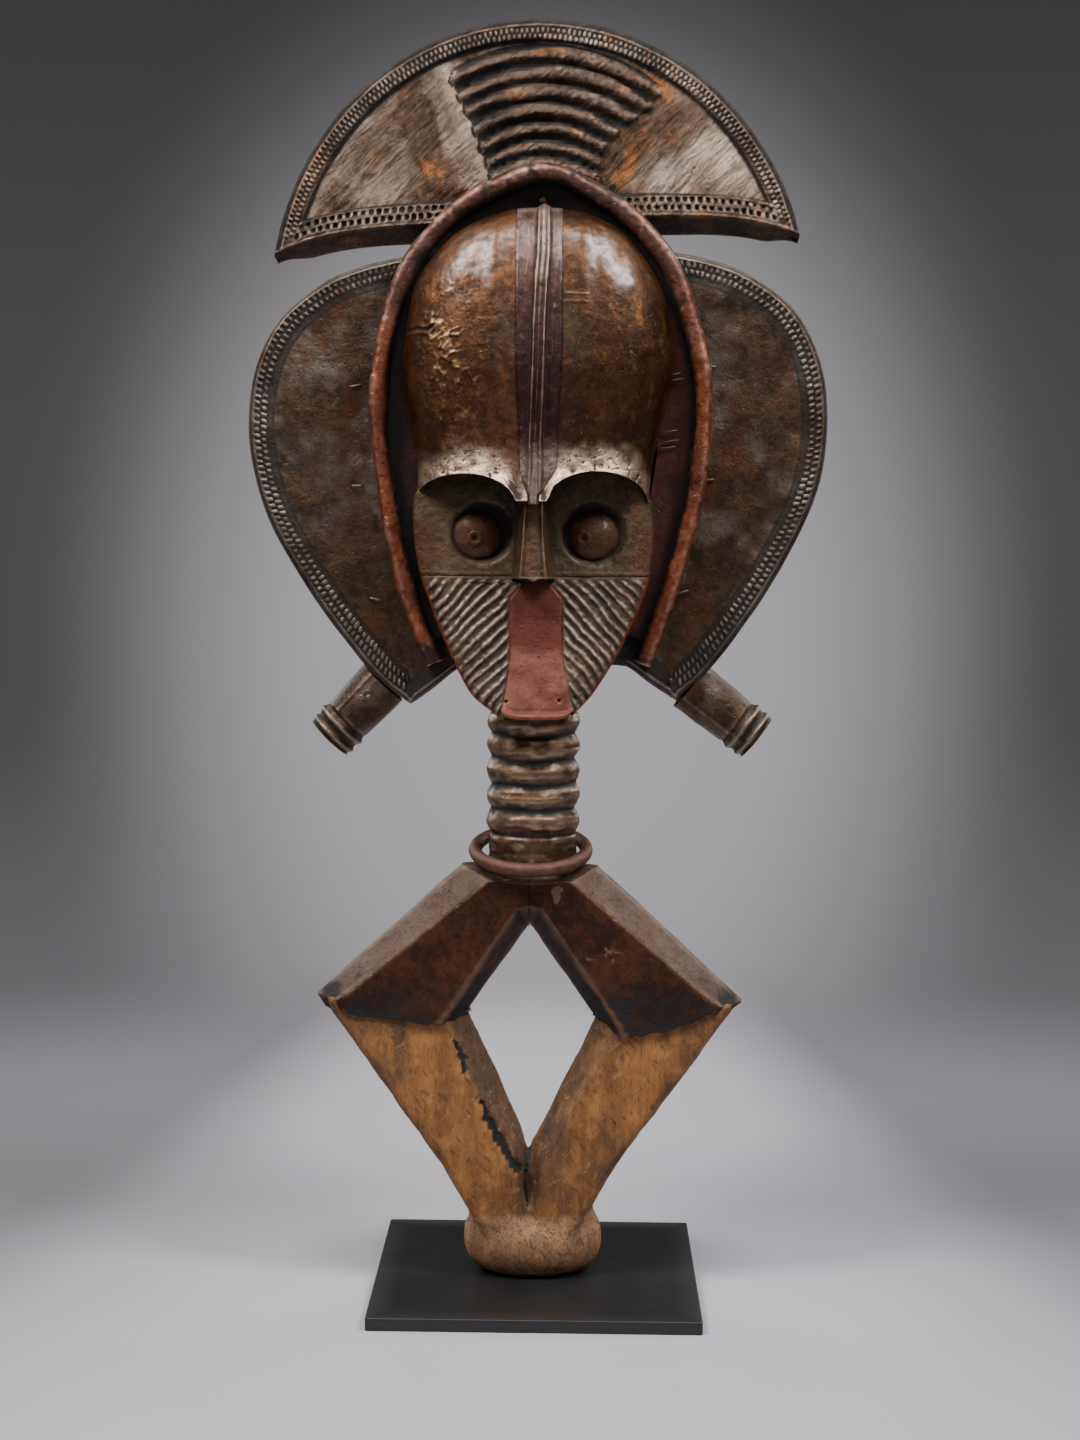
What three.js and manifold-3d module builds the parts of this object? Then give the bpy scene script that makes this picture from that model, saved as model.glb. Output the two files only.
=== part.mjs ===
// A reliquary figure: one carved wooden figure clad in hammered sheet metal, on a thin base plate.
// Millimetres, Z up, the viewer stands on the -Y side and X runs to the viewer's right.
// The origin is the middle of the base plate's underside, straight below the head.
import * as THREE from "three";
import { mergeVertices } from "three/addons/utils/BufferGeometryUtils.js";
import Module from "manifold-3d";

const wasm = await Module();
wasm.setup();

// Fits and sheet metal
const FIT = 0.3; // clearance between pieces that touch
const SHEET = 1; // thickness of the hammered sheet
const WRAP = 8; // how far a sheet is folded over onto the back
const BACKED = FIT + SHEET; // from the wood to the outside of its sheet
const SEAM = FIT / 2; // how far a sheet is held back from the line where it meets its neighbour

// Base plate
const PLATE_WIDTH = 152;
const PLATE_DEPTH = 145;
const PLATE_THICKNESS = 6;
const PLATE_SHIFT = 2.4; // the plate's middle lies a little to the right of the head's

// Foot and lozenge of arms and legs, heights above the figure's own underside
const FOOT_HEIGHT = 29;
const FOOT_RADIUS = 33.5;
const FOOT_FLATTENING = 0.64; // depth of the foot as a share of its width
const FOOT_SLOPE = 0.16; // fall of the foot's top towards the viewer
const LEG_FORK = { x: -0.8, z: 60 }; // lower corner of the opening
const ANKLE_HALF = 24.3;
const ANKLE_HEIGHT = 20;
const KNEE_HEIGHT = 51;
const KNEES = { left: -43.6, right: 40 };
const SHOULDER_HALF = 31;
const SHOULDER_HEIGHT = 194.5;
const SHOULDER_DEPTH = 27.5; // from the shoulders' top down to the opening
const ARM_FORK = { x: -1.9, z: SHOULDER_HEIGHT - SHOULDER_DEPTH }; // upper corner of the opening
const LIMB_FRONT = 17;
const LIMB_BACK = 13;
const EDGE_HALF = 3; // half the thickness left at the outer edge of a limb
const ELBOWS = {
  left: { x: -101.3, z: 132.5, innerX: -31.6, innerZ: 126.6 },
  right: { x: 97.5, z: 131, innerX: 30.8, innerZ: 123.5 },
};
const ARM_BEVEL = 13; // outer bevel of an arm where it meets the elbow
const LEG_BEVEL = 5;
const INNER_BEVEL = 11;

// Neck and its ring
const NECK_X = -0.8;
const NECK_CORE = 17.5;
const NECK_VALLEY = 19.2;
const NECK_BULGE = 21.7;
const NECK_FOOT = 21.4;
const NECK_SIDES = 14;
const NECK_RIBS = 5;
const NECK_RIB_PITCH = 11.8;
const NECK_SEAT = 6; // how far the neck reaches down between the shoulders
const RING_RADIUS = 26.2;
const RING_SECTION = 3.3;
const RING_TILT = THREE.MathUtils.degToRad(13.5);
const RING_X = -1.8;
const RING_RISE = 7.9; // the ring's middle above the shoulders

// Head, heights above the chin
const CHIN_HEIGHT = 270.5;
const HEAD_FLOOR = 8; // floor of the groove around the face, in front of the middle plane
const HEAD_BACK = 17;
const BOARD_FRONT = 4.5;
const BOARD_BACK = 5;
const BOARD_ROOT_BACK = 9;
const COIFFURE_TILT = THREE.MathUtils.degToRad(1.5);
const COIFFURE_PIVOT = 130;

// Crescent crest: half an ellipse above a shallow arched lower edge
const CREST_CENTRE = 187;
const CREST_HALF_WIDTH = 122.4;
const CREST_RISE = 126.8;
const CREST_TILT = THREE.MathUtils.degToRad(2.5);
const CREST_TIP = THREE.MathUtils.degToRad(12);
const CREST_ARCH = 38;
const CREST_ARCH_DROP = 12;
const CREST_CHAMFER = 8;
const BORDER_IN = 3;
const BORDER_WIDTH = 10;
const BORDER_RELIEF = 0.8;
const FAN_RIDGES = 7;
const FAN_TOP = 111.5; // height of the top ridge above the crest's centre
const FAN_PITCH = 8;
const FAN_RIDGE_WIDTH = 4.6;
const FAN_RIDGE_RELIEF = 2.4;
const FAN_LEFT = 42;
const FAN_RIGHT = 52;
const FAN_NARROWING = 3.6;
const FAN_SAG = 0.16; // how far a ridge's ends drop, as a share of its length

// Side lobes: outline of one lobe from the crest down to its lower corner
const LOBE_OUTLINE = [
  [58, 208.5],
  [79, 204],
  [98, 196.5],
  [117.5, 181.5],
  [129, 160],
  [133, 135.5],
  [130.8, 110],
  [122.5, 85],
  [106, 55.5],
  [90, 32.5],
  [75.5, 15],
  [62, 3.8],
];
const LOBE_HEM = [
  [51, 11.5],
  [44, 17],
  [36.5, 22],
];

// Pendants: short tapered cylinders under the lobes
const PENDANT_ROOT = 11.4;
const PENDANT_END = 9.7;
const PENDANT_RIM = 1.4;
const PENDANT_BACK = 7.5; // the axis lies a little behind the boards' middle plane
const PENDANTS = {
  left: { x: -66, z: 16.5, angle: THREE.MathUtils.degToRad(46), length: 45 },
  right: { x: 66, z: 15.5, angle: THREE.MathUtils.degToRad(38), length: 48 },
};
const PENDANT_HIDDEN = 9; // the part of a pendant that lies under its lobe's sheet
const PENDANT_LIP = 0.6; // how far the sleeve stands out over the pendant's end
const PENDANT_RINGS = [7.5, 2]; // the two raised rings, measured back from the pendant's end
const PENDANT_GROOVE = 2.5; // from a ring's middle to the grooves beside it

// Raised rim around the face, along its middle line
const RIM_FRONT = 16;
const RIM_HALF = 3.2;
const RIM_ROUNDING = 0.6; // fall of the rim's top towards its sides, as a share of its half width
const RIM_LINE = [
  [-46.5, 20.5],
  [-58, 48],
  [-65.5, 77],
  [-71.3, 109],
  [-73.4, 141],
  [-69.5, 173],
  [-59, 203],
  [-37, 227.5],
  [-13, 240.5],
  [3.5, 244.7],
  [19, 239.8],
  [41, 225.5],
  [60.5, 202.5],
  [72, 171],
  [76.2, 141],
  [74.3, 109],
  [68, 77],
  [59.5, 48],
  [49.5, 21],
];

// The head core's outline behind the chin, from the rim's right end back to its left end
const CHIN_LOOP = [
  [31, 23],
  [13, 5],
  [-13, 5],
  [-31, 23],
];

// Face block, level by level: height, left edge, right edge, front at the middle, front at the edges
const FOREHEAD = [
  [88, -54, 51, 45.8, HEAD_FLOOR],
  [112, -53.8, 51.4, 43.4, HEAD_FLOOR],
  [126, -56.6, 54.8, 42.5, HEAD_FLOOR],
  [155, -61, 61, 44.5, HEAD_FLOOR],
  [180, -58.4, 59, 41.5, HEAD_FLOOR],
  [200, -52.4, 52, 36.2, HEAD_FLOOR],
  [217, -37, 38.5, 28.5, HEAD_FLOOR],
  [228, -14, 17, 18, HEAD_FLOOR],
];
const LOWER_FACE = [
  [114, -52.5, 50, 24, 16],
  [90, -55.5, 52.4, 26, 18],
  [64, -52.4, 51.4, 29.6, 21.6],
  [37, -42.2, 41.8, 35, 27.5],
  [10.5, -29.2, 26.8, 41, 35],
  [-1.5, -15.6, 15.8, 43.8, 40],
];
const FOREHEAD_SQUARENESS = 2.3;
const FACE_SQUARENESS = 2.6;
const BROWS = {
  left: { x: -32.6, half: 23.4, spring: 94.5, rise: 13.6 },
  right: { x: 27.8, half: 22.8, spring: 95.5, rise: 13.6 },
};
const EYES = {
  left: { x: -24.8, z: 81, ballX: -27.4, ballZ: 79 },
  right: { x: 26.6, z: 81, ballX: 27.8, ballZ: 79.2 },
};
const EYE_SOCKET = 14;
const EYE_FLOOR = 22.5;
const EYEBALL = 11;
const EYEBALL_RISE = 8;
const NOSE = [
  [101, -6.2, 3.8, 38],
  [96, -6, 4, 39.5],
  [80, -6.6, 4.4, 41],
  [60, -8.2, 6, 43],
];
const NOSE_FLARE = 1.6; // how far the nose's sides spread towards the face
const SEAM_HEIGHT = 61.5; // seam between the eye sheets and the cheek sheets
const BAND_EDGES = [
  [240, -10, 10.8],
  [160, -9.6, 11.2],
  [109, -7, 9],
  [98, -3.6, 1.6],
];
const BAND_RIDGE_X = 0.6;
const BAND_RIDGE_WIDTH = 3;
const BAND_RELIEF = 1;
const MOUTH_EDGES = [
  [60, -4.6, 5.4],
  [51.5, -11.5, 12.2],
  [24, -11.4, 12.6],
  [10.5, -13.1, 15.3],
  [-6, -15.4, 19],
];
const CHEEK_RIB_ANGLE = THREE.MathUtils.degToRad(42);
const CHEEK_RIB_PITCH = 4.5;
const CHEEK_RIB_WIDTH = 2;
const CHEEK_RIB_RELIEF = 1.1;
const CHEEK_RIB_REACH = 90;
const CHEEK_RIB_MIDDLE = 30; // height of the middle rib at the face's middle line
const CHEEK_RIBS_EACH_WAY = 9;
const FAR = 200; // reach of a cutter that only has to pass clear of the figure

// Solids: meshes made closed, joined and cut

function solid(geometry) {
  const plain = geometry.index ? geometry.toNonIndexed() : geometry.clone();
  plain.deleteAttribute("normal");
  plain.deleteAttribute("uv");
  const merged = mergeVertices(plain, 1e-4);
  const mesh = new wasm.Mesh({
    numProp: 3,
    vertProperties: merged.attributes.position.array,
    triVerts: new Uint32Array(merged.index.array),
  });
  return new wasm.Manifold(mesh);
}

function geometryOf(body) {
  const mesh = body.getMesh();
  const geometry = new THREE.BufferGeometry();
  geometry.setAttribute("position", new THREE.BufferAttribute(new Float32Array(mesh.vertProperties), 3));
  geometry.setIndex(new THREE.BufferAttribute(new Uint32Array(mesh.triVerts), 1));
  const flat = geometry.toNonIndexed();
  flat.computeVertexNormals();
  return flat;
}

const joined = (bodies) => bodies.reduce((whole, body) => whole.add(body));

// A closed body through rings of equally many points, with a fan of faces over each end.
function loft(rings) {
  const size = rings[0].length;
  const points = rings.flat();
  const faces = [];
  for (let r = 0; r + 1 < rings.length; r++) {
    for (let i = 0; i < size; i++) {
      const a = r * size + i;
      const b = r * size + ((i + 1) % size);
      faces.push([a, b, b + size], [a, b + size, a + size]);
    }
  }
  for (const [first, turn] of [
    [0, -1],
    [(rings.length - 1) * size, 1],
  ]) {
    const middle = new THREE.Vector3();
    for (let i = 0; i < size; i++) middle.addScaledVector(points[first + i], 1 / size);
    const centre = points.push(middle) - 1;
    for (let i = 0; i < size; i++) {
      const a = first + i;
      const b = first + ((i + 1) % size);
      faces.push(turn > 0 ? [a, b, centre] : [b, a, centre]);
    }
  }
  const volume = faces.reduce(
    (sum, [a, b, c]) => sum + points[a].dot(new THREE.Vector3().crossVectors(points[b], points[c])),
    0,
  );
  const outward = volume > 0 ? faces : faces.map(([a, b, c]) => [a, c, b]);
  const geometry = new THREE.BufferGeometry().setFromPoints(points);
  geometry.setIndex(outward.flat());
  return solid(geometry);
}

// An outline in the X-Z plane pulled along Y, from the front depth to the back depth.
function prism(loop, front, back) {
  const shape = new THREE.Shape(loop.map(([x, z]) => new THREE.Vector2(x, z)));
  const geometry = new THREE.ExtrudeGeometry(shape, { depth: back - front, bevelEnabled: false });
  geometry.rotateX(Math.PI / 2);
  geometry.translate(0, back, 0);
  return solid(geometry);
}

const cutter = (loop) => prism(loop, -FAR, FAR);

// A closed outline moved outwards by a distance, with mitred corners.
function offset(loop, distance) {
  const area = loop.reduce((sum, [x, z], i) => {
    const [u, w] = loop[(i + 1) % loop.length];
    return sum + x * w - u * z;
  }, 0);
  const side = Math.sign(area);
  return loop.map(([x, z], i) => {
    const before = loop[(i + loop.length - 1) % loop.length];
    const after = loop[(i + 1) % loop.length];
    const a = new THREE.Vector2(z - before[1], before[0] - x).normalize();
    const b = new THREE.Vector2(after[1] - z, x - after[0]).normalize();
    const normal = a.clone().add(b).normalize();
    const reach = (side * distance) / Math.max(normal.dot(a), 0.4);
    return [x + normal.x * reach, z + normal.y * reach];
  });
}

function tilted([x, z], angle, pivot) {
  const c = Math.cos(angle);
  const s = Math.sin(angle);
  return [x * c - (z - pivot) * s, pivot + x * s + (z - pivot) * c];
}

// Head: the core behind the face, with the rim standing on its edge

function coreLoop(grow) {
  return offset([...RIM_LINE, ...CHIN_LOOP], RIM_HALF + grow);
}

function headCore() {
  const slopes = [
    [-HEAD_FLOOR, -RIM_HALF],
    [-BOARD_FRONT, -RIM_HALF],
    [-BOARD_FRONT + 1, 0],
    [BOARD_ROOT_BACK, 0],
    [HEAD_BACK - 3, -9],
    [HEAD_BACK, -26],
  ];
  const rings = slopes.map(([y, inset]) => coreLoop(inset).map(([x, z]) => new THREE.Vector3(x, y, z)));
  return loft(rings);
}

// The rim's middle line with both ends pulled out by a distance.
function rimReach(reach) {
  const last = RIM_LINE.length - 1;
  const beyond = ([x, z], [u, w]) => {
    const out = new THREE.Vector2(x - u, z - w).setLength(reach);
    return [x + out.x, z + out.y];
  };
  return [beyond(RIM_LINE[0], RIM_LINE[1]), ...RIM_LINE.slice(1, last), beyond(RIM_LINE[last], RIM_LINE[last - 1])];
}

function rimRings(half, front, back, reach = 0) {
  const line = rimReach(reach);
  return line.map(([x, z], i) => {
    const before = line[Math.max(i - 1, 0)];
    const after = line[Math.min(i + 1, line.length - 1)];
    const side = new THREE.Vector2(after[1] - before[1], before[0] - after[0]).normalize();
    const round = half * RIM_ROUNDING;
    const section = [
      [-half, -back],
      [-half, round - front],
      [0, -front],
      [half, round - front],
      [half, -back],
    ];
    return section.map(([s, y]) => new THREE.Vector3(x + side.x * s, y, z + side.y * s));
  });
}

const rimRidge = () => loft(rimRings(RIM_HALF, RIM_FRONT, 0));

// The rim's copper cap: its outer leg stands on the boards' sheets, its inner leg on the groove's lining.
function rimCap() {
  const legEnd = BOARD_FRONT + BACKED + FIT;
  const below = prism(coreLoop(FIT / 2), -HEAD_FLOOR - BACKED - FIT, FAR);
  return loft(rimRings(RIM_HALF + BACKED, RIM_FRONT + BACKED, legEnd))
    .subtract(loft(rimRings(RIM_HALF + FIT, RIM_FRONT + FIT, 0, SHEET)))
    .subtract(face(BACKED + FIT))
    .subtract(below);
}

// Crest

const crestEdge = (x) => CREST_ARCH - CREST_ARCH_DROP * Math.abs(x / CREST_HALF_WIDTH) ** 5;

// Where the line from the crest's centre at one angle crosses the lower edge and the outer arc.
function crestStation(angle, grow) {
  const outer = [(CREST_HALF_WIDTH + grow) * Math.cos(angle), (CREST_RISE + grow) * Math.sin(angle)];
  let low = 0;
  let high = 1;
  for (let i = 0; i < 24; i++) {
    const middle = (low + high) / 2;
    const inside = middle * outer[1] < crestEdge(middle * outer[0]);
    if (inside) low = middle;
    else high = middle;
  }
  return { outer, inner: [outer[0] * low, outer[1] * low - grow] };
}

const inCrest = ([x, z]) => {
  const [u, w] = tilted([x, z], CREST_TILT, 0);
  return [u, w + CREST_CENTRE];
};

function crestAngles(steps) {
  return Array.from({ length: steps + 1 }, (_, i) => Math.PI - CREST_TIP - (i / steps) * (Math.PI - 2 * CREST_TIP));
}

// The crest board, with its lower edge chamfered down towards the back.
function crestBoard(grow) {
  const angles = crestAngles(18);
  const rings = angles.map((angle, i) => {
    const { outer, inner } = crestStation(angle, grow);
    const slide = i === 0 ? -grow : i === angles.length - 1 ? grow : 0;
    const chamfer = CREST_CHAMFER * (0.5 + 0.5 * Math.sin(angle));
    const section = [
      [inner[0], inner[1], -BOARD_FRONT - grow],
      [outer[0], outer[1], -BOARD_FRONT - grow],
      [outer[0], outer[1], BOARD_BACK + grow],
      [inner[0], inner[1] - chamfer, BOARD_ROOT_BACK + grow],
    ];
    return section.map(([x, z, y]) => {
      const [u, w] = inCrest([x + slide * 0.6, z - Math.abs(slide) * 0.6]);
      return new THREE.Vector3(u, y, w);
    });
  });
  return loft(rings);
}

// The part of the crest's back that its sheet leaves bare.
function crestWindow() {
  const rings = crestAngles(12)
    .map((angle) => crestStation(angle, 0))
    .filter(({ outer, inner }) => Math.hypot(outer[0] - inner[0], outer[1] - inner[1]) > 3 * WRAP)
    .map(({ outer, inner }) => {
      const length = Math.hypot(outer[0], outer[1]);
      const shrink = (length - WRAP) / length;
      const high = inCrest([outer[0] * shrink, outer[1] * shrink]);
      const low = inCrest([inner[0], inner[1] + WRAP - CREST_CHAMFER]);
      return [
        new THREE.Vector3(low[0], 0, low[1]),
        new THREE.Vector3(high[0], 0, high[1]),
        new THREE.Vector3(high[0], FAR, high[1]),
        new THREE.Vector3(low[0], FAR, low[1]),
      ];
    });
  return loft(rings);
}

// The beaded border as a low raised band along the outer arc.
function crestBorder() {
  const arc = (inset) =>
    crestAngles(12).map((angle) => {
      return inCrest([(CREST_HALF_WIDTH - inset) * Math.cos(angle), (CREST_RISE - inset) * Math.sin(angle)]);
    });
  return cutter([...arc(BORDER_IN), ...arc(BORDER_IN + BORDER_WIDTH).reverse()]);
}

// One curved ridge of the fan: an arch whose ends drop towards the crest's lower edge.
function fanRidge(index) {
  const left = FAN_LEFT - index * FAN_NARROWING;
  const right = FAN_RIGHT - index * (FAN_NARROWING + 0.6);
  const steps = 4;
  const line = Array.from({ length: steps + 1 }, (_, i) => {
    const x = -left + ((left + right) * i) / steps;
    const across = (2 * i) / steps - 1;
    const drop = FAN_SAG * (left + right) * across * across;
    return [x, FAN_TOP - index * FAN_PITCH - drop];
  });
  const half = FAN_RIDGE_WIDTH / 2;
  const upper = line.map(([x, z]) => inCrest([x, z + half]));
  const lower = line.map(([x, z]) => inCrest([x, z - half])).reverse();
  return cutter([...upper, ...lower]);
}

function crestSheet() {
  const inner = crestBoard(FIT);
  const plain = crestBoard(BACKED).subtract(inner);
  const front = prism([[-FAR, 0], [FAR, 0], [FAR, 2 * FAR], [-FAR, 2 * FAR]], -FAR, -BOARD_FRONT);
  const border = crestBoard(BACKED + BORDER_RELIEF).intersect(crestBorder());
  const ridges = Array.from({ length: FAN_RIDGES }, (_, index) => fanRidge(index));
  const fan = crestBoard(BACKED + FAN_RIDGE_RELIEF).intersect(joined(ridges));
  const relief = border.add(fan).intersect(front).subtract(cutter(coreLoop(BACKED + FIT)));
  return joined([plain, relief.subtract(inner)])
    .subtract(crestWindow())
    .subtract(cutter(coreLoop(FIT)));
}

// Lobes

function lobeLine(side) {
  const sign = side === "left" ? -1 : 1;
  const outline = [...LOBE_OUTLINE, ...LOBE_HEM];
  return outline.map(([x, z]) => tilted([sign * x, z], COIFFURE_TILT, COIFFURE_PIVOT));
}

// For each point of the lobe's outline, a point on the rim that it fans out from.
function lobeRoots(side, count) {
  const half = (RIM_LINE.length - 1) / 2;
  const top = 0.62;
  return Array.from({ length: count }, (_, i) => {
    const along = half * top * (1 - i / (count - 1));
    const place = side === "left" ? along : RIM_LINE.length - 1 - along;
    const index = Math.min(Math.floor(place), RIM_LINE.length - 2);
    const t = place - index;
    const [a, b] = [RIM_LINE[index], RIM_LINE[index + 1]];
    return [a[0] + (b[0] - a[0]) * t, a[1] + (b[1] - a[1]) * t];
  });
}

// The lobe board between the rim and its outline, grown and set back from the outline by chosen amounts.
function lobeRings(side, grow, inset, section) {
  const outline = lobeLine(side);
  const roots = lobeRoots(side, outline.length);
  const loop = [...outline, ...roots.slice().reverse()];
  const edge = offset(loop, grow - inset);
  return outline.map((_, i) => {
    const [x, z] = edge[i];
    const [u, w] = roots[i];
    return section(grow).map(([share, y]) => new THREE.Vector3(u + (x - u) * share, y, w + (z - w) * share));
  });
}

const lobeSection = (grow) => [
  [0, -BOARD_FRONT - grow],
  [1, -BOARD_FRONT - grow],
  [1, BOARD_BACK - 1 + grow],
  [0, BOARD_BACK + grow],
];

const windowSection = () => [
  [0, 0],
  [1, 0],
  [1, FAR],
  [0, FAR],
];

const lobeBoard = (side, grow) => loft(lobeRings(side, grow, 0, lobeSection));

function lobeBorder(side) {
  const outline = lobeLine(side).slice(0, -LOBE_HEM.length);
  const loop = [...lobeLine(side), ...lobeRoots(side, 8).reverse()];
  const outer = offset(loop, -BORDER_IN).slice(2, outline.length - 1);
  const inner = offset(loop, -BORDER_IN - BORDER_WIDTH).slice(2, outline.length - 1);
  return cutter([...outer, ...inner.reverse()]);
}

function coiffureSheet(side) {
  const inner = lobeBoard(side, FIT);
  const front = prism([[-FAR, -FAR], [FAR, -FAR], [FAR, 2 * FAR], [-FAR, 2 * FAR]], -FAR, -BOARD_FRONT);
  const border = lobeBoard(side, BACKED + BORDER_RELIEF).intersect(lobeBorder(side)).intersect(front);
  return lobeBoard(side, BACKED)
    .add(border)
    .subtract(inner)
    .subtract(loft(lobeRings(side, 0, WRAP, windowSection)))
    .subtract(cutter(coreLoop(FIT)))
    .subtract(pendant(side, FIT, 0));
}

// Pendants

// A tapered round bar along the pendant's axis, from a start to its end, with chosen radii along it.
function turned(side, profile) {
  const { x, z, angle } = PENDANTS[side];
  const geometry = new THREE.LatheGeometry(
    profile.map(([radius, along]) => new THREE.Vector2(radius, along)),
    10,
  );
  const sign = side === "left" ? -1 : 1;
  geometry.rotateX(Math.PI / 2);
  geometry.rotateY(sign * (Math.PI / 2 + angle));
  geometry.translate(x, PENDANT_BACK, z);
  return solid(geometry);
}

function pendant(side, grow, start) {
  const { length } = PENDANTS[side];
  return turned(side, [
    [0, start],
    [PENDANT_ROOT + grow, start],
    [PENDANT_END + grow, length],
    [0, length],
  ]);
}

function pendantSleeve(side) {
  const { length } = PENDANTS[side];
  const outer = PENDANT_END + BACKED;
  const sleeve = turned(side, [
    [0, PENDANT_HIDDEN],
    [PENDANT_ROOT + BACKED, PENDANT_HIDDEN],
    [outer, length - PENDANT_RINGS[0] - PENDANT_GROOVE],
    [outer + PENDANT_RIM, length - PENDANT_RINGS[0]],
    [outer, length - PENDANT_RINGS[0] + PENDANT_GROOVE],
    [outer + PENDANT_RIM, length - PENDANT_RINGS[1]],
    [outer, length + PENDANT_LIP],
    [0, length + PENDANT_LIP],
  ]);
  return sleeve
    .subtract(pendant(side, FIT, -PENDANT_HIDDEN))
    .subtract(turned(side, [[0, 0], [PENDANT_END + FIT, 0], [PENDANT_END + FIT, FAR], [0, FAR]]))
    .subtract(lobeBoard(side, BACKED + BORDER_RELIEF + FIT));
}

// Face

const faceLevel = ([z, left, right, front, edge], grow, squareness, steps) => {
  const middle = (left + right) / 2;
  const half = (right - left) / 2 + grow;
  const arc = Array.from({ length: steps + 1 }, (_, i) => {
    const turn = Math.PI * (1 - i / steps);
    const c = Math.cos(turn);
    const share = Math.sign(c) * Math.abs(c) ** (2 / squareness);
    const lift = Math.sin(turn) ** (2 / squareness);
    return new THREE.Vector3(middle + half * share, -edge - grow - (front - edge) * lift, z);
  });
  return [new THREE.Vector3(middle - half, 0, z), ...arc, new THREE.Vector3(middle + half, 0, z)];
};

// Rings through the levels, with the two end levels moved out by the growth.
function faceBlock(rows, grow, squareness, steps) {
  const rings = rows.map((row) => faceLevel(row, grow, squareness, steps));
  const step = Math.sign(rows[1][0] - rows[0][0]) * grow;
  rings[0].forEach((point) => (point.z -= step));
  rings[rings.length - 1].forEach((point) => (point.z += step));
  return loft(rings);
}

// The space under the two brow arches.
function underBrows(shrink) {
  const steps = 8;
  const arch = ({ x, half, spring, rise }) => {
    return Array.from({ length: steps + 1 }, (_, i) => {
      const turn = Math.PI * (1 - i / steps);
      return [x + (half - shrink) * Math.cos(turn), spring + (rise - shrink) * Math.sin(turn)];
    });
  };
  const left = arch(BROWS.left);
  const right = arch(BROWS.right);
  const springLeft = [-FAR, BROWS.left.spring - shrink];
  const springRight = [FAR, BROWS.right.spring - shrink];
  for (const end of [left[0], left[steps], right[0], right[steps]]) end[1] -= shrink;
  return [[-FAR, -FAR], springLeft, ...left, ...right, springRight, [FAR, -FAR]];
}

function nose(grow) {
  const rings = NOSE.map(([z, left, right, front], i) => {
    const drop = i === NOSE.length - 1 ? grow : 0;
    const section = [
      [left - grow - NOSE_FLARE, 0],
      [left - grow - NOSE_FLARE, -front + 9],
      [left - grow, -front + 2 - grow],
      [left + 1 - grow, -front - grow],
      [right - 1 + grow, -front - grow],
      [right + grow, -front + 2 - grow],
      [right + grow + NOSE_FLARE, -front + 9],
      [right + grow + NOSE_FLARE, 0],
    ];
    return section.map(([x, y]) => new THREE.Vector3(x, y, z - drop));
  });
  return loft(rings);
}

function roundBar(x, z, radius, front, back) {
  const geometry = new THREE.CylinderGeometry(radius, radius, back - front, 10);
  geometry.translate(x, (front + back) / 2, z);
  return solid(geometry);
}

function eyeball({ ballX, ballZ }, grow) {
  const radius = EYEBALL + grow;
  const geometry = new THREE.SphereGeometry(radius, 8, 5);
  geometry.scale(1, (EYEBALL_RISE + grow) / radius, 1);
  geometry.translate(ballX, -EYE_FLOOR, ballZ);
  return solid(geometry);
}

const sides = ["left", "right"];

function face(grow) {
  const visor = faceBlock(FOREHEAD, grow, FOREHEAD_SQUARENESS, 8).subtract(cutter(underBrows(grow)));
  let head = joined([visor, faceBlock(LOWER_FACE, grow, FACE_SQUARENESS, 6), nose(grow)]);
  for (const side of sides) {
    const { x, z } = EYES[side];
    head = head.subtract(roundBar(x, z, EYE_SOCKET - grow, -FAR, -EYE_FLOOR - grow));
    head = head.add(eyeball(EYES[side], grow));
  }
  return head;
}

const faceInside = face(FIT);
const neckHole = neckBar(NECK_CORE + FIT, -FAR, FAR);
const inFront = prism([[-FAR, -FAR], [FAR, -FAR], [FAR, 2 * FAR], [-FAR, 2 * FAR]], -FAR, -HEAD_FLOOR - BACKED - FIT);
const faceSkin = face(BACKED).subtract(faceInside).intersect(inFront).subtract(neckHole);
const raisedSkin = (relief) => face(BACKED + relief).subtract(face(FIT + SHEET / 2)).intersect(inFront);

// Regions of the face's skin that its sheets cover.
const edgesLoop = (edges, grow) => [
  ...edges.map(([z, left]) => [left - grow, z]),
  ...edges.map(([z, , right]) => [right + grow, z]).reverse(),
];
const bandRegion = (grow) => edgesLoop(BAND_EDGES, grow);
const mouthRegion = (grow) => edgesLoop(MOUTH_EDGES, grow);
const browLine = (shift) => underBrows(BACKED + shift);
const noseReach = NOSE_FLARE + BACKED + SEAM;
const noseRegion = (grow) => {
  const top = BROWS.left.spring + BACKED;
  const rows = NOSE.filter(([z]) => z < top);
  const bottom = NOSE[NOSE.length - 1][0] - BACKED - SEAM;
  const loop = rows.map(([z, left, right]) => [z, left - noseReach, right + noseReach]);
  loop[loop.length - 1][0] = bottom;
  return edgesLoop([[top + FIT, loop[0][1], loop[0][2]], ...loop], grow);
};
const halfPlane = (side) => {
  const far = side === "left" ? -FAR : FAR;
  const middle = side === "left" ? -SEAM : SEAM;
  return [[middle, -FAR], [far, -FAR], [far, 2 * FAR], [middle, 2 * FAR]];
};

function foreheadSheet(side) {
  return faceSkin
    .intersect(cutter(halfPlane(side)))
    .subtract(cutter(bandRegion(SEAM)))
    .subtract(cutter(browLine(SEAM)));
}

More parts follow.
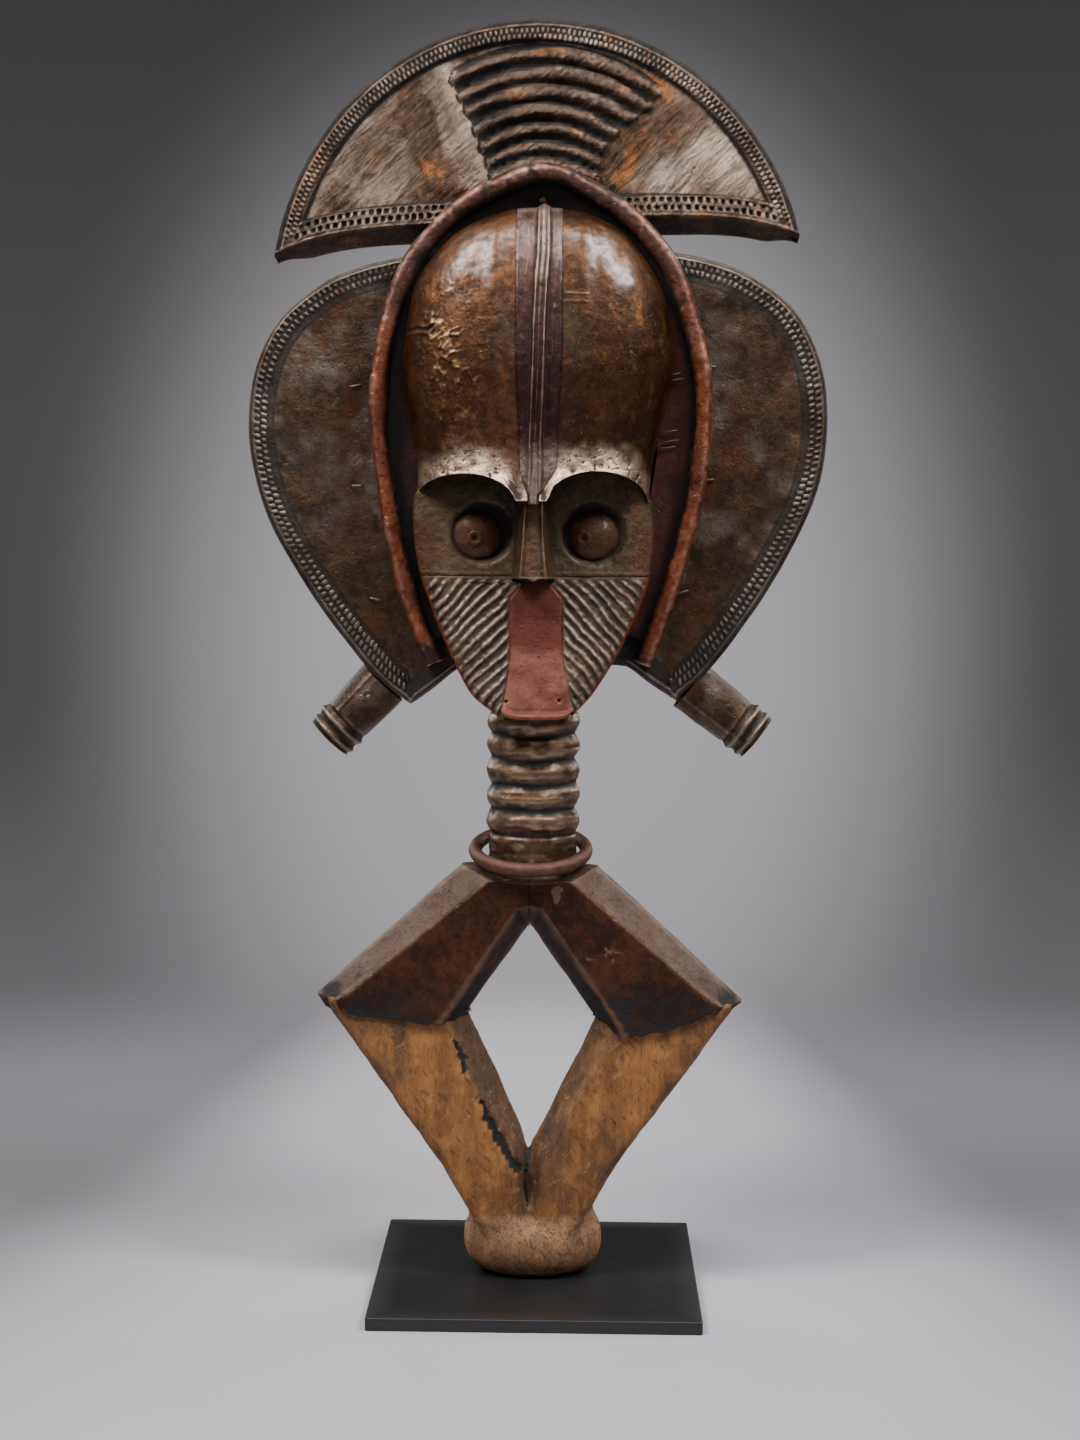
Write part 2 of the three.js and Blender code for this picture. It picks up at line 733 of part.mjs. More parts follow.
function foreheadBand() {
  const [low, high] = [BAND_EDGES[2][0], BAND_EDGES[0][0]];
  const [left, right] = [BAND_RIDGE_X - BAND_RIDGE_WIDTH / 2, BAND_RIDGE_X + BAND_RIDGE_WIDTH / 2];
  const ridge = cutter([[left, low], [right, low], [right, high], [left, high]]);
  const raised = raisedSkin(BAND_RELIEF).intersect(ridge);
  return faceSkin.add(raised).intersect(cutter(bandRegion(-SEAM))).subtract(cutter(browLine(SEAM)));
}

function eyeSheet(side) {
  const above = prism([[-FAR, SEAM_HEIGHT + SEAM], [FAR, SEAM_HEIGHT + SEAM], [FAR, FAR], [-FAR, FAR]], -FAR, FAR);
  return faceSkin
    .intersect(cutter(halfPlane(side)))
    .intersect(cutter(browLine(SEAM + FIT)))
    .intersect(above)
    .subtract(cutter(noseRegion(SEAM)));
}

const noseSheet = () => faceSkin.intersect(cutter(noseRegion(-SEAM))).intersect(cutter(browLine(SEAM + FIT)));

// Parallel ribs over one cheek, rising towards the nose.
function cheekRibs(side) {
  const sign = side === "left" ? 1 : -1;
  const along = new THREE.Vector2(sign * Math.cos(CHEEK_RIB_ANGLE), Math.sin(CHEEK_RIB_ANGLE));
  const across = new THREE.Vector2(-along.y, along.x);
  const ribs = [];
  for (let k = -CHEEK_RIBS_EACH_WAY; k <= CHEEK_RIBS_EACH_WAY; k++) {
    const middle = new THREE.Vector2(0, CHEEK_RIB_MIDDLE).addScaledVector(across, k * CHEEK_RIB_PITCH);
    const corner = (s, w) => {
      const end = middle.clone().addScaledVector(along, s * CHEEK_RIB_REACH);
      end.addScaledVector(across, (w * CHEEK_RIB_WIDTH) / 2);
      return [end.x, end.y];
    };
    ribs.push(cutter([corner(-1, -1), corner(1, -1), corner(1, 1), corner(-1, 1)]));
  }
  return joined(ribs);
}

function cheekSheet(side) {
  const below = prism([[-FAR, -FAR], [FAR, -FAR], [FAR, SEAM_HEIGHT - SEAM], [-FAR, SEAM_HEIGHT - SEAM]], -FAR, FAR);
  const ribbed = prism([[-FAR, -FAR], [FAR, -FAR], [FAR, SEAM_HEIGHT - 2], [-FAR, SEAM_HEIGHT - 2]], -FAR, -20);
  const raised = raisedSkin(CHEEK_RIB_RELIEF).intersect(cheekRibs(side)).intersect(ribbed);
  return faceSkin
    .add(raised)
    .intersect(cutter(halfPlane(side)))
    .intersect(below)
    .subtract(cutter(mouthRegion(SEAM)))
    .subtract(cutter(noseRegion(SEAM)));
}

function mouthSheet() {
  return faceSkin.intersect(cutter(mouthRegion(-SEAM))).subtract(cutter(noseRegion(SEAM)));
}

// The dark lining of the groove between the rim and the face.
function grooveLining() {
  const channel = offset([...RIM_LINE], -RIM_HALF - FIT);
  return prism(channel, -HEAD_FLOOR - BACKED, -HEAD_FLOOR - FIT)
    .subtract(face(BACKED + FIT))
    .subtract(prism([[-FAR, -FAR], [FAR, -FAR], [FAR, 26], [-FAR, 26]], -FAR, FAR));
}

// Neck

function neckSleeve() {
  const top = CHIN_HEIGHT + LOWER_FACE[LOWER_FACE.length - 1][0] - BACKED - FIT;
  const first = top - 5.2;
  const inner = NECK_CORE + FIT;
  const profile = [[inner, SHOULDER_HEIGHT - NECK_SEAT], [NECK_FOOT, SHOULDER_HEIGHT - NECK_SEAT]];
  for (let rib = NECK_RIBS - 1; rib >= 0; rib--) {
    const middle = first - rib * NECK_RIB_PITCH;
    const quarter = NECK_RIB_PITCH / 4;
    profile.push([NECK_VALLEY, middle - 2 * quarter + 0.6]);
    profile.push([NECK_BULGE, middle - quarter]);
    profile.push([NECK_BULGE, middle + quarter]);
  }
  profile.push([NECK_VALLEY, top], [inner, top], [inner, SHOULDER_HEIGHT - NECK_SEAT]);
  const geometry = new THREE.LatheGeometry(profile.map(([r, z]) => new THREE.Vector2(r, z)), NECK_SIDES);
  geometry.rotateX(Math.PI / 2);
  geometry.translate(NECK_X, 0, 0);
  return solid(geometry).subtract(limbs(BACKED + FIT));
}

// A round upright bar on the neck's axis.
function neckBar(radius, bottom, top) {
  const profile = [[0, bottom], [radius, bottom], [radius, top], [0, top]];
  const geometry = new THREE.LatheGeometry(profile.map(([r, z]) => new THREE.Vector2(r, z)), NECK_SIDES);
  geometry.rotateX(Math.PI / 2);
  geometry.translate(NECK_X, 0, 0);
  return solid(geometry);
}

const neckCore = () => neckBar(NECK_CORE, SHOULDER_HEIGHT - NECK_SEAT, CHIN_HEIGHT + 8);

function neckRing() {
  const geometry = new THREE.TorusGeometry(RING_RADIUS, RING_SECTION, 6, 20);
  geometry.rotateX(RING_TILT);
  geometry.translate(RING_X, 0, SHOULDER_HEIGHT + RING_RISE);
  return solid(geometry);
}

// Lozenge: on each side an arm and a leg that meet at a sharp elbow

// One cross-section of a limb, from its outer edge across the front to the opening and round the back.
function limbRing(outer, ridge, bevel, inner, grow) {
  const front = -LIMB_FRONT - grow;
  const back = LIMB_BACK + grow;
  const out = new THREE.Vector2(outer[0] - inner[0], outer[1] - inner[1]).normalize().multiplyScalar(grow);
  const point = ([x, z], y, side) => new THREE.Vector3(x + out.x * side, y, z + out.y * side);
  return [
    point(outer, -EDGE_HALF - grow / 2, 1),
    point(ridge, front, 0.4),
    point(bevel, front, -0.4),
    point(inner, -EDGE_HALF - grow / 2, -1),
    point(inner, EDGE_HALF + grow / 2, -1),
    point(bevel, back, -0.4),
    point(ridge, back, 0.4),
    point(outer, EDGE_HALF + grow / 2, 1),
  ];
}

function armStations(side) {
  const sign = side === "left" ? -1 : 1;
  const elbow = ELBOWS[side];
  const middle = ARM_FORK.x;
  return [
    [
      [middle - sign * 2, SHOULDER_HEIGHT + 3],
      [middle - sign * 2, SHOULDER_HEIGHT - 5],
      [middle - sign * 2, ARM_FORK.z + 12],
      [middle - sign * 2, ARM_FORK.z + 2],
    ],
    [
      [middle + sign * SHOULDER_HALF, SHOULDER_HEIGHT],
      [middle + sign * 16, SHOULDER_HEIGHT - 7],
      [middle + sign * 6, ARM_FORK.z + 10],
      [middle + sign * 2, ARM_FORK.z],
    ],
    [
      [elbow.x, elbow.z],
      [elbow.x - sign * ARM_BEVEL, elbow.z],
      [elbow.innerX + sign * INNER_BEVEL, elbow.innerZ - 3],
      [elbow.innerX, elbow.innerZ],
    ],
  ];
}

// The arm's sheet runs a little past the elbow, down to its hem on the leg.
function hemStation(side) {
  const sign = side === "left" ? -1 : 1;
  const elbow = ELBOWS[side];
  return [
    [elbow.x - sign * 4, elbow.z - 5.5],
    [elbow.x - sign * 14, elbow.z - 7],
    [elbow.innerX + sign * 13, elbow.innerZ - 7],
    [elbow.innerX - sign * 1, elbow.innerZ - 2],
  ];
}

function legStations(side) {
  const sign = side === "left" ? -1 : 1;
  const elbow = ELBOWS[side];
  const middle = LEG_FORK.x;
  return [
    [
      [elbow.x - sign * 6, elbow.z + 4],
      [elbow.x - sign * 21, elbow.z + 4],
      [elbow.innerX + sign * INNER_BEVEL, elbow.innerZ + 1],
      [elbow.innerX + sign * 3, elbow.innerZ + 4],
    ],
    [
      [elbow.x, elbow.z],
      [elbow.x - sign * LEG_BEVEL, elbow.z],
      [elbow.innerX + sign * INNER_BEVEL, elbow.innerZ - 3],
      [elbow.innerX, elbow.innerZ],
    ],
    [
      [KNEES[side], KNEE_HEIGHT],
      [KNEES[side] - sign * 4, KNEE_HEIGHT],
      [middle + sign * 5, LEG_FORK.z - 8],
      [middle + sign * 0.5, LEG_FORK.z],
    ],
    [
      [middle + sign * ANKLE_HALF, ANKLE_HEIGHT],
      [middle + sign * (ANKLE_HALF - 4), ANKLE_HEIGHT],
      [middle + sign * 0.5, ANKLE_HEIGHT],
      [middle - sign * 1.5, ANKLE_HEIGHT],
    ],
  ];
}

const limb = (stations, grow) => loft(stations.map((station) => limbRing(...station, grow)));
const arm = (side, grow) => limb(armStations(side), grow);
const leg = (side, grow) => limb(legStations(side), grow);
const limbs = (grow) => joined(sides.flatMap((side) => [arm(side, grow), leg(side, grow)]));

function shoulderSheet(side) {
  const sign = side === "left" ? -1 : 1;
  const middle = ARM_FORK.x + sign * SEAM;
  const far = sign * FAR;
  const ownSide = cutter([[middle, 0], [far, 0], [far, 2 * FAR], [middle, 2 * FAR]]);
  return limb([...armStations(side), hemStation(side)], BACKED)
    .subtract(limbs(FIT))
    .subtract(neckBar(NECK_FOOT + FIT, SHOULDER_HEIGHT - NECK_SEAT - FIT, 2 * FAR))
    .intersect(ownSide);
}

function foot() {
  const profile = [
    [0, 0],
    [24.5, 0],
    [31, 5],
    [FOOT_RADIUS, 12.5],
    [33.2, 21],
    [30, FOOT_HEIGHT - 2],
    [22, FOOT_HEIGHT],
    [0, FOOT_HEIGHT],
  ];
  const geometry = new THREE.LatheGeometry(profile.map(([r, z]) => new THREE.Vector2(r, z)), 16);
  geometry.rotateX(Math.PI / 2);
  geometry.scale(1, FOOT_FLATTENING, 1);
  const points = geometry.getAttribute("position");
  for (let i = 0; i < points.count; i++) {
    const z = points.getZ(i);
    points.setZ(i, z + (FOOT_SLOPE * points.getY(i) * z) / FOOT_HEIGHT);
  }
  geometry.translate(LEG_FORK.x + 1.5, 0, 0);
  return solid(geometry);
}

// The carved figure, all of one piece of wood

function woodFigure() {
  const head = joined([
    headCore(),
    crestBoard(0),
    ...sides.map((side) => lobeBoard(side, 0)),
    ...sides.map((side) => pendant(side, 0, 0)),
    rimRidge(),
    face(0),
  ]);
  return joined([head.translate([0, 0, CHIN_HEIGHT]), neckCore(), limbs(0), foot()]);
}

function basePlate() {
  const geometry = new THREE.BoxGeometry(PLATE_WIDTH, PLATE_DEPTH, PLATE_THICKNESS);
  geometry.translate(PLATE_SHIFT, 0, PLATE_THICKNESS / 2);
  return geometry;
}

// Finishes
const finish = (colour, roughness, metalness) =>
  new THREE.MeshStandardMaterial({ color: colour, roughness, metalness, flatShading: true });
const wood = finish(0x8a5f35, 0.75, 0);
const brownSheet = finish(0x5b4a3a, 0.42, 0.7);
const goldSheet = finish(0x7a5527, 0.3, 0.75);
const copper = finish(0x8a3f28, 0.5, 0.6);
const darkLining = finish(0x35201f, 0.6, 0.5);
const blackPlate = finish(0x141414, 0.5, 0.3);

function piece(name, geometry, material) {
  const mesh = new THREE.Mesh(geometry, material.clone());
  mesh.name = name;
  return mesh;
}

const figure = new THREE.Group();
figure.position.z = PLATE_THICKNESS + FIT;
const head = new THREE.Group();
head.position.z = CHIN_HEIGHT;
figure.add(head);

const onHead = (name, body, material) => head.add(piece(name, geometryOf(body), material));
const onFigure = (name, body, material) => figure.add(piece(name, geometryOf(body), material));

onFigure("wood_figure", woodFigure(), wood);
onHead("crest_sheet", crestSheet(), brownSheet);
onHead("rim_band", rimCap(), copper);
onHead("groove_lining", grooveLining(), darkLining);
onHead("forehead_band", foreheadBand(), copper);
onHead("nose_sheet", noseSheet(), goldSheet);
onHead("mouth_sheet", mouthSheet(), copper);
for (const side of sides) {
  onHead("coiffure_sheet_" + side, coiffureSheet(side), brownSheet);
  onHead("forehead_sheet_" + side, foreheadSheet(side), goldSheet);
  onHead("eye_sheet_" + side, eyeSheet(side), goldSheet);
  onHead("cheek_sheet_" + side, cheekSheet(side), brownSheet);
  onHead("pendant_sleeve_" + side, pendantSleeve(side), brownSheet);
  onFigure("shoulder_sheet_" + side, shoulderSheet(side), brownSheet);
}
onFigure("neck_sleeve", neckSleeve(), goldSheet);
onFigure("neck_ring", neckRing(), copper);

const reliquary = new THREE.Group();
reliquary.add(piece("base_plate", basePlate(), blackPlate), figure);

export default reliquary;
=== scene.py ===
"""Looks of a reliquary figure: hammered sheet metal over one carved wooden figure, on a thin black plate.

Shapes are worked out in millimetres, with heights of the head counted from the chin, and become metres
when a mesh is made. The viewer stands on the -Y side and X runs to the viewer's right.
"""

import itertools
import math

import bpy
import numpy as np
from mathutils import Matrix, Vector


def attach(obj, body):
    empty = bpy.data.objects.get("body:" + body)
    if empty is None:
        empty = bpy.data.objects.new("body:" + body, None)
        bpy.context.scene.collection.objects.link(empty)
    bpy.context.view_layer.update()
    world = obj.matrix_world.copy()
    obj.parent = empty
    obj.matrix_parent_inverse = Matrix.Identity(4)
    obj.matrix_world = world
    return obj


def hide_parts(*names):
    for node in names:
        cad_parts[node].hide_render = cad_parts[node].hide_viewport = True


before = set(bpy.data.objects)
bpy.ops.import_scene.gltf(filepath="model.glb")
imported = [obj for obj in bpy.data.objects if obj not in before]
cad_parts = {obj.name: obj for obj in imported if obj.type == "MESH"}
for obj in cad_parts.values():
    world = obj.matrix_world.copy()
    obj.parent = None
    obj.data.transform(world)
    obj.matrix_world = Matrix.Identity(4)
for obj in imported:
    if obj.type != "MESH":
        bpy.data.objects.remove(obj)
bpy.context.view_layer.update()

MM = 0.001
FIGURE = 6.3  # the figure's underside above the ground
HEAD = 276.8  # the chin above the ground
BACKED = 1.3  # from the wood to the outside of its sheet
WRAP = 8  # how far a sheet is folded over onto the back

# Boards of the head
BOARD_FRONT = 4.5
CREST_CENTRE = 187
CREST_HALF_WIDTH = 122.4
CREST_RISE = 126.8
CREST_TILT = math.radians(2.5)
CREST_TIP = math.radians(12)
CREST_REACH = CREST_HALF_WIDTH * math.cos(CREST_TIP)  # from the crest's middle to its tips
CREST_ARCH = 38
CREST_ARCH_DROP = 12
CREST_CHAMFER = 8
COIFFURE_TILT = math.radians(1.5)
COIFFURE_PIVOT = 130
FOLD_ROWS = 18

# Bars of the crest's fan: left end, its height, height at the middle, right end, its height, all from
# the crest's centre
FAN_BARS = [
    (-40.3, 100.0, 111.9, 53.9, 94.7),
    (-36.6, 92.0, 103.6, 49.4, 88.0),
    (-33.8, 85.3, 95.3, 41.2, 83.0),
    (-29.6, 76.8, 86.6, 34.0, 76.0),
    (-25.9, 69.6, 78.0, 29.9, 69.4),
    (-22.7, 63.0, 70.2, 27.7, 62.6),
    (-21.8, 56.2, 62.8, 26.4, 56.0),
]
FAN_RELIEF = 2.5
FAN_HALF = 3.7

LOBE_OUTLINE = [
    (58, 208.5),
    (79, 204),
    (98, 196.5),
    (117.5, 181.5),
    (129, 160),
    (133, 135.5),
    (130.8, 110),
    (122.5, 85),
    (106, 55.5),
    (90, 32.5),
    (75.5, 15),
    (62, 3.8),
]
LOBE_HEM = [(62, 3.8), (51, 11.5), (44, 17), (36.5, 22)]

RIM_LINE = [
    (-46.5, 20.5),
    (-58, 48),
    (-65.5, 77),
    (-71.3, 109),
    (-73.4, 141),
    (-69.5, 173),
    (-59, 203),
    (-37, 227.5),
    (-13, 240.5),
    (3.5, 244.7),
    (19, 239.8),
    (41, 225.5),
    (60.5, 202.5),
    (72, 171),
    (76.2, 141),
    (74.3, 109),
    (68, 77),
    (59.5, 48),
    (49.5, 21),
]
RIM_FRONT = 17.3
RIM_HALF = 4.5

# Pendants: start of the axis, its fall below the level, and length
PENDANTS = {
    "left": (-66, 16.5, math.radians(46), 45),
    "right": (66, 15.5, math.radians(38), 48),
}
PENDANT_ROOT = 12.7
PENDANT_END = 11
PENDANT_BACK = 7.5

# Face, level by level: height, left edge, right edge, depth at the middle, depth at the edges
FOREHEAD = [
    (88, -54, 51, 45.8, 8),
    (112, -53.8, 51.4, 43.4, 8),
    (126, -56.6, 54.8, 42.5, 8),
    (155, -61, 61, 44.5, 8),
    (180, -58.4, 59, 41.5, 8),
    (200, -52.4, 52, 36.2, 8),
    (217, -37, 38.5, 28.5, 8),
    (226, -19, 22, 19.5, 8),
    (229.6, -5, 8, 11, 8),
]
LOWER_FACE = [
    (-1.5, -15.6, 15.8, 43.8, 40),
    (10.5, -29.2, 26.8, 41, 35),
    (37, -42.2, 41.8, 35, 27.5),
    (64, -52.4, 51.4, 29.6, 21.6),
    (90, -55.5, 52.4, 26, 18),
    (114, -52.5, 50, 24, 16),
]
FOREHEAD_BASE = 94
FOREHEAD_TOP = 229.6
FOREHEAD_SQUARENESS = 2.3
FACE_SQUARENESS = 2.6
BROWS = {"left": (-32.6, 23.4, 94.5, 13.2), "right": (27.8, 22.8, 95.5, 13.6)}
# Each eye: middle and radius of its hollow, middle and radius of the eyeball, middle of the pupil
EYES = {
    "left": ((-24.8, 81), 13.4, (-27.2, 78.6), 12.2, (-27.5, 78.7)),
    "right": ((26.6, 81), 13.8, (25.6, 78.9), 12.4, (21.6, 79.0)),
}
EYE_FLOOR = 23.8
WALL_COLUMNS = 14  # columns of a sheet's part between the groove's floor and the face's edge
EYEBALL_RISE = 8.6
NOSE = [(58.7, -8.4, 6.2, 43), (80, -6.6, 4.4, 41), (96, -6, 4, 39.5), (101, -6.2, 3.8, 38)]
NOSE_FLARE = 1.6
SEAM_HEIGHT = 61.5
BAND_EDGES = [(94, -3.2, 1.2), (98, -3.6, 1.6), (109, -7, 9), (160, -9.6, 11.2), (240, -10, 10.8)]
BAND_RIDGE = [(94, -1.2), (109, -0.6), (180, 1.3), (226, 2.6)]
MOUTH_EDGES = [
    (-6, -15.4, 19),
    (10.5, -13.1, 15.3),
    (24, -11.4, 12.6),
    (51.5, -11.5, 12.2),
    (60, -4.6, 5.4),
]
RIB_ANGLE = math.radians(46)
RIB_PITCH = 4.1
CHIN_UNDERSIDE = -2.9

# Neck
NECK_X = -0.8
NECK_RIDGES = [263.7, 252.6, 240.6, 228.8, 216.9]
NECK_BULGE = 21.7
NECK_VALLEY = 19.4
NECK_TOP = 267.4
NECK_FLOOR = 189
RING_RADIUS = 26.2
RING_SECTION = 3.3
RING_TILT = math.radians(13.5)
RING_X = -1.8
RING_HEIGHT = 202.4

# Lozenge of arms and legs, heights above the figure's underside
LIMB_FRONT = 17
LIMB_BACK = 13
EDGE_HALF = 3
ARM_FORK = (-1.9, 167)
SHOULDER_HALF = 31
SHOULDER_HEIGHT = 194.5
ELBOWS = {"left": (-101.3, 132.5, -31.6, 126.6), "right": (97.5, 131, 30.8, 123.5)}

# Staples on the lobes: middle and slant in degrees; stitches in the groove: left end
STAPLES = [
    (-84.5, 425, 8),
    (-83.8, 379, 0),
    (-75, 326.5, -12),
    (79.5, 435, -4),
    (79, 383, 2),
    (68, 331, 14),
]
STITCHES = [(57, 404.5), (57.6, 400), (56, 397), (60, 428), (58.5, 430.5)]

PLATE = (152, 145, 6)
PLATE_SHIFT = 2.4

# Surroundings, in metres
FLOOR_REACH = 0.85  # where the pale floor has faded into the backdrop
LIT_PLACE = (0, 0, 0.38)
CAMERA_PLACE = (0.0167, -1.0426, 0.3590)
CAMERA_TURNS = (-0.014, 0.085, 0.008)  # yaw, pitch and roll in radians
FOCAL_LENGTH = 2222 / 1440  # as a share of the picture's height


# Numbers and curves


def bumps(points, size, seed):
    """Smooth noise from -1 to 1 at each point, with lumps of about the given size."""
    places = np.asarray(points, float) / size + 17.31 * seed
    cell = np.floor(places).astype(np.int64)
    part = places - cell
    part = part * part * (3 - 2 * part)
    total = np.zeros(places.shape[:-1])
    for corner in itertools.product((0, 1), repeat=3):
        shift = cell + np.array(corner)
        key = shift[..., 0] * 73856093 ^ shift[..., 1] * 19349663 ^ shift[..., 2] * 83492791
        key = ((key ^ (key >> 13)) * 1274126177) & 0x7FFFFFFF
        value = ((key ^ (key >> 16)) % 2048) / 1023.5 - 1
        weight = np.prod(np.where(corner, part, 1 - part), axis=-1)
        total += value * weight
    return total


def rough(points, *layers):
    """Noise of several sizes on top of each other: (height, size, seed) for each."""
    return sum(height * bumps(points, size, seed) for height, size, seed in layers)


def step(low, high, value):
    """Rises smoothly from 0 at low to 1 at high; high may be below low."""
    share = np.clip((value - low) / (high - low), 0, 1)
    return share * share * (3 - 2 * share)


def mound(distance, half):
    """1 where the distance is 0, falling smoothly to 0 at half."""
    return 0.5 + 0.5 * np.cos(math.pi * np.clip(np.abs(distance) / half, 0, 1))


def space(x, y, z):
    """Places from their three coordinates, any of which may be one number for all."""
    return np.stack(np.broadcast_arrays(x, y, z), axis=-1).astype(float)


def lengths_along(line):
    """How far each place on a line lies from its start."""
    return np.concatenate([[0], np.cumsum(np.linalg.norm(np.diff(line, axis=0), axis=1))])


def smooth_line(points, count):
    """A smooth curve through the points, as evenly spaced places."""
    p = np.array(points, float)
    p = np.vstack([2 * p[0] - p[1], p, 2 * p[-1] - p[-2]])
    t = np.linspace(0, 1, 24, endpoint=False)[:, None]
    runs = []
    for a, b, c, d in zip(p[:-3], p[1:-2], p[2:-1], p[3:]):
        curve = 2 * b + (c - a) * t + (2 * a - 5 * b + 4 * c - d) * t**2 + (3 * b - a - 3 * c + d) * t**3
        runs.append(0.5 * curve)
    line = np.vstack([*runs, p[-2:-1]])
    reach = lengths_along(line)
    wanted = np.linspace(0, reach[-1], count)
    return np.stack([np.interp(wanted, reach, line[:, k]) for k in range(line.shape[1])], axis=1)


def read_rows(rows, height):
    """The columns of a table of levels, read smoothly at any height."""
    dense = smooth_line(rows, 500)
    return [np.interp(height, dense[:, 0], dense[:, k]) for k in range(1, dense.shape[1])]


def edges_at(table, height, column):
    """The left (0) or right (1) edge at a height, from rows of a height and its two edges."""
    return np.interp(height, [row[0] for row in table], [row[1 + column] for row in table])


def side_of(line):
    """Unit vectors to the left of an X-Z line's direction of travel."""
    along = np.gradient(line, axis=0)
    along /= np.linalg.norm(along, axis=1, keepdims=True)
    return np.stack([-along[:, 1], along[:, 0]], axis=1)


def sign_of(side):
    return -1 if side == "left" else 1


def column_of(side):
    """The column of a table of edges that is a left or right piece's inner edge."""
    return 0 if side == "left" else 1


def edge_turn(side):
    """The turn, as used by across_at, of the face's edge on a side."""
    return math.pi if side == "left" else 0


# Meshes


def grid_normals(grid, inside, wrap=False):
    """Unit normals of a grid of points, facing away from a point inside the piece."""
    along = np.gradient(grid, axis=0)
    if wrap:
        across = np.roll(grid, -1, axis=1) - np.roll(grid, 1, axis=1)
    else:
        across = np.gradient(grid, axis=1)
    normal = np.cross(along, across)
    normal /= np.maximum(np.linalg.norm(normal, axis=2, keepdims=True), 1e-9)
    outwards = np.sum(normal * (grid - np.array(inside, float)))
    return normal if outwards > 0 else -normal


def standing(grid, inside, reach, wrap=False):
    """How far each point stands out from its neighbours, in millimetres."""
    padded = np.pad(grid, ((reach, reach), (0, 0), (0, 0)), mode="edge")
    padded = np.pad(padded, ((0, 0), (reach, reach), (0, 0)), mode="wrap" if wrap else "edge")
    rows, columns = grid.shape[:2]
    middle = slice(reach, reach + rows)
    centre = slice(reach, reach + columns)
    around = padded[: rows, centre] + padded[2 * reach : 2 * reach + rows, centre]
    around = around + padded[middle, : columns] + padded[middle, 2 * reach : 2 * reach + columns]
    return np.sum((grid - around / 4) * grid_normals(grid, inside, wrap), axis=2)


def hammered(grid, inside, dents, wrap=False, share=1):
    """The grid with soft dents: (depth, size, seed) each."""
    height = share * rough(grid, *dents)
    return grid + grid_normals(grid, inside, wrap) * height[..., None]


def over(parts, *values, axis=0):
    """A mark for a grid made of parts, with one value or array of values for each part."""
    return np.concatenate([value + np.zeros(part.shape[:2]) for part, value in zip(parts, values)], axis=axis)


def add_mark(mesh, name, values):
    """Writes one number for each point, which the finishes read by its name."""
    layer = mesh.attributes.get(name) or mesh.attributes.new(name, "FLOAT", "POINT")
    layer.data.foreach_set("value", np.ascontiguousarray(values, dtype=np.float32).ravel())


def add_wear(piece, extra):
    """Adds bright spots to a piece's wear."""
    worn = np.zeros(extra.size, dtype=np.float32)
    piece.data.attributes["worn"].data.foreach_get("value", worn)
    add_mark(piece.data, "worn", np.clip(worn + extra.ravel(), 0, 1.5))


def place(obj, nodes, slot, paint):
    """Links a piece, fixes it to the figure and gives it its finish."""
    if obj.name not in bpy.context.scene.collection.objects:
        bpy.context.scene.collection.objects.link(obj)
    obj.data.materials.clear()
    obj.data.materials.append(paint)
    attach(obj, "root")
    if nodes:
        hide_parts(*nodes)
    return obj


def facing_quads(points, rows, columns, inside, wrap):
    """The faces of a grid of points, turned to face away from a point inside the piece."""
    index = np.arange(rows * columns).reshape(rows, columns)
    if wrap:
        index = np.concatenate([index, index[:, :1]], axis=1)
    quads = np.stack([index[:-1, :-1], index[:-1, 1:], index[1:, 1:], index[1:, :-1]], axis=-1)
    quads = quads.reshape(-1, 4)
    corner = points[quads]
    normal = np.cross(corner[:, 2] - corner[:, 0], corner[:, 3] - corner[:, 1])
    outwards = np.sum(normal * (corner.mean(axis=1) - np.array(inside, float)))
    return quads[:, ::-1] if outwards < 0 else quads


def sheet(name, grid, inside, lift, slot, paint, tint=0, soil_and_shade=0, wear=1, wrap=False, reach=3, proud=0.35):
    """A piece from a grid of points, with marks where it stands out, lies deep, or changes tone.

    The grid and the point inside it are lifted from the head's or the figure's zero to the ground's.
    """
    grid = grid + np.array([0, 0, lift])
    inside = np.array(inside, float) + np.array([0, 0, lift])
    points = grid.reshape(-1, 3)
    quads = facing_quads(points, *grid.shape[:2], inside, wrap)
    mesh = bpy.data.meshes.new(name)
    mesh.from_pydata((points * MM).tolist(), [], quads.tolist())
    mesh.shade_smooth()
    height = standing(grid, inside, reach, wrap) / proud
    add_mark(mesh, "worn", np.clip(height, 0, 1) * wear)
    # The deep mark holds the hollows and the given soil_and_shade; the finishes darken it as dirt together
    # with painted shade.
    add_mark(mesh, "deep", np.clip(-height + soil_and_shade, 0, 1))
    add_mark(mesh, "tone", np.clip(tint, 0, 1) + 0 * height)
    return place(bpy.data.objects.new(name + "_worked", mesh), [name], slot, paint)


def lathe_points(radius, along, turns):
    """Points of a turned form about Z, one row for each radius and height."""
    return np.stack([radius * np.cos(turns), radius * np.sin(turns), along + 0 * turns], axis=-1)


# Materials


class Socket:
    """A number from a node. Arithmetic on it adds Math nodes."""

    def __init__(self, paint, output):
        self.paint = paint
        self.output = output

    def reckon(self, operation, first, second):
        return self.paint.node("Math", {"operation": operation}, {0: first, 1: second})

    def __add__(self, other):
        return self.reckon("ADD", self, other)

    def __radd__(self, other):
        return self.reckon("ADD", other, self)

    def __sub__(self, other):
        return self.reckon("SUBTRACT", self, other)

    def __rsub__(self, other):
        return self.reckon("SUBTRACT", other, self)

    def __mul__(self, other):
        return self.reckon("MULTIPLY", self, other)

    def __rmul__(self, other):
        return self.reckon("MULTIPLY", other, self)

    def __truediv__(self, other):
        return self.reckon("DIVIDE", self, other)

    def rise(self, low, high):
        """0 below low, 1 above high, smooth between."""
        values = {"Value": self, "From Min": low, "From Max": high}
        return self.paint.node("MapRange", {"interpolation_type": "SMOOTHSTEP"}, values)


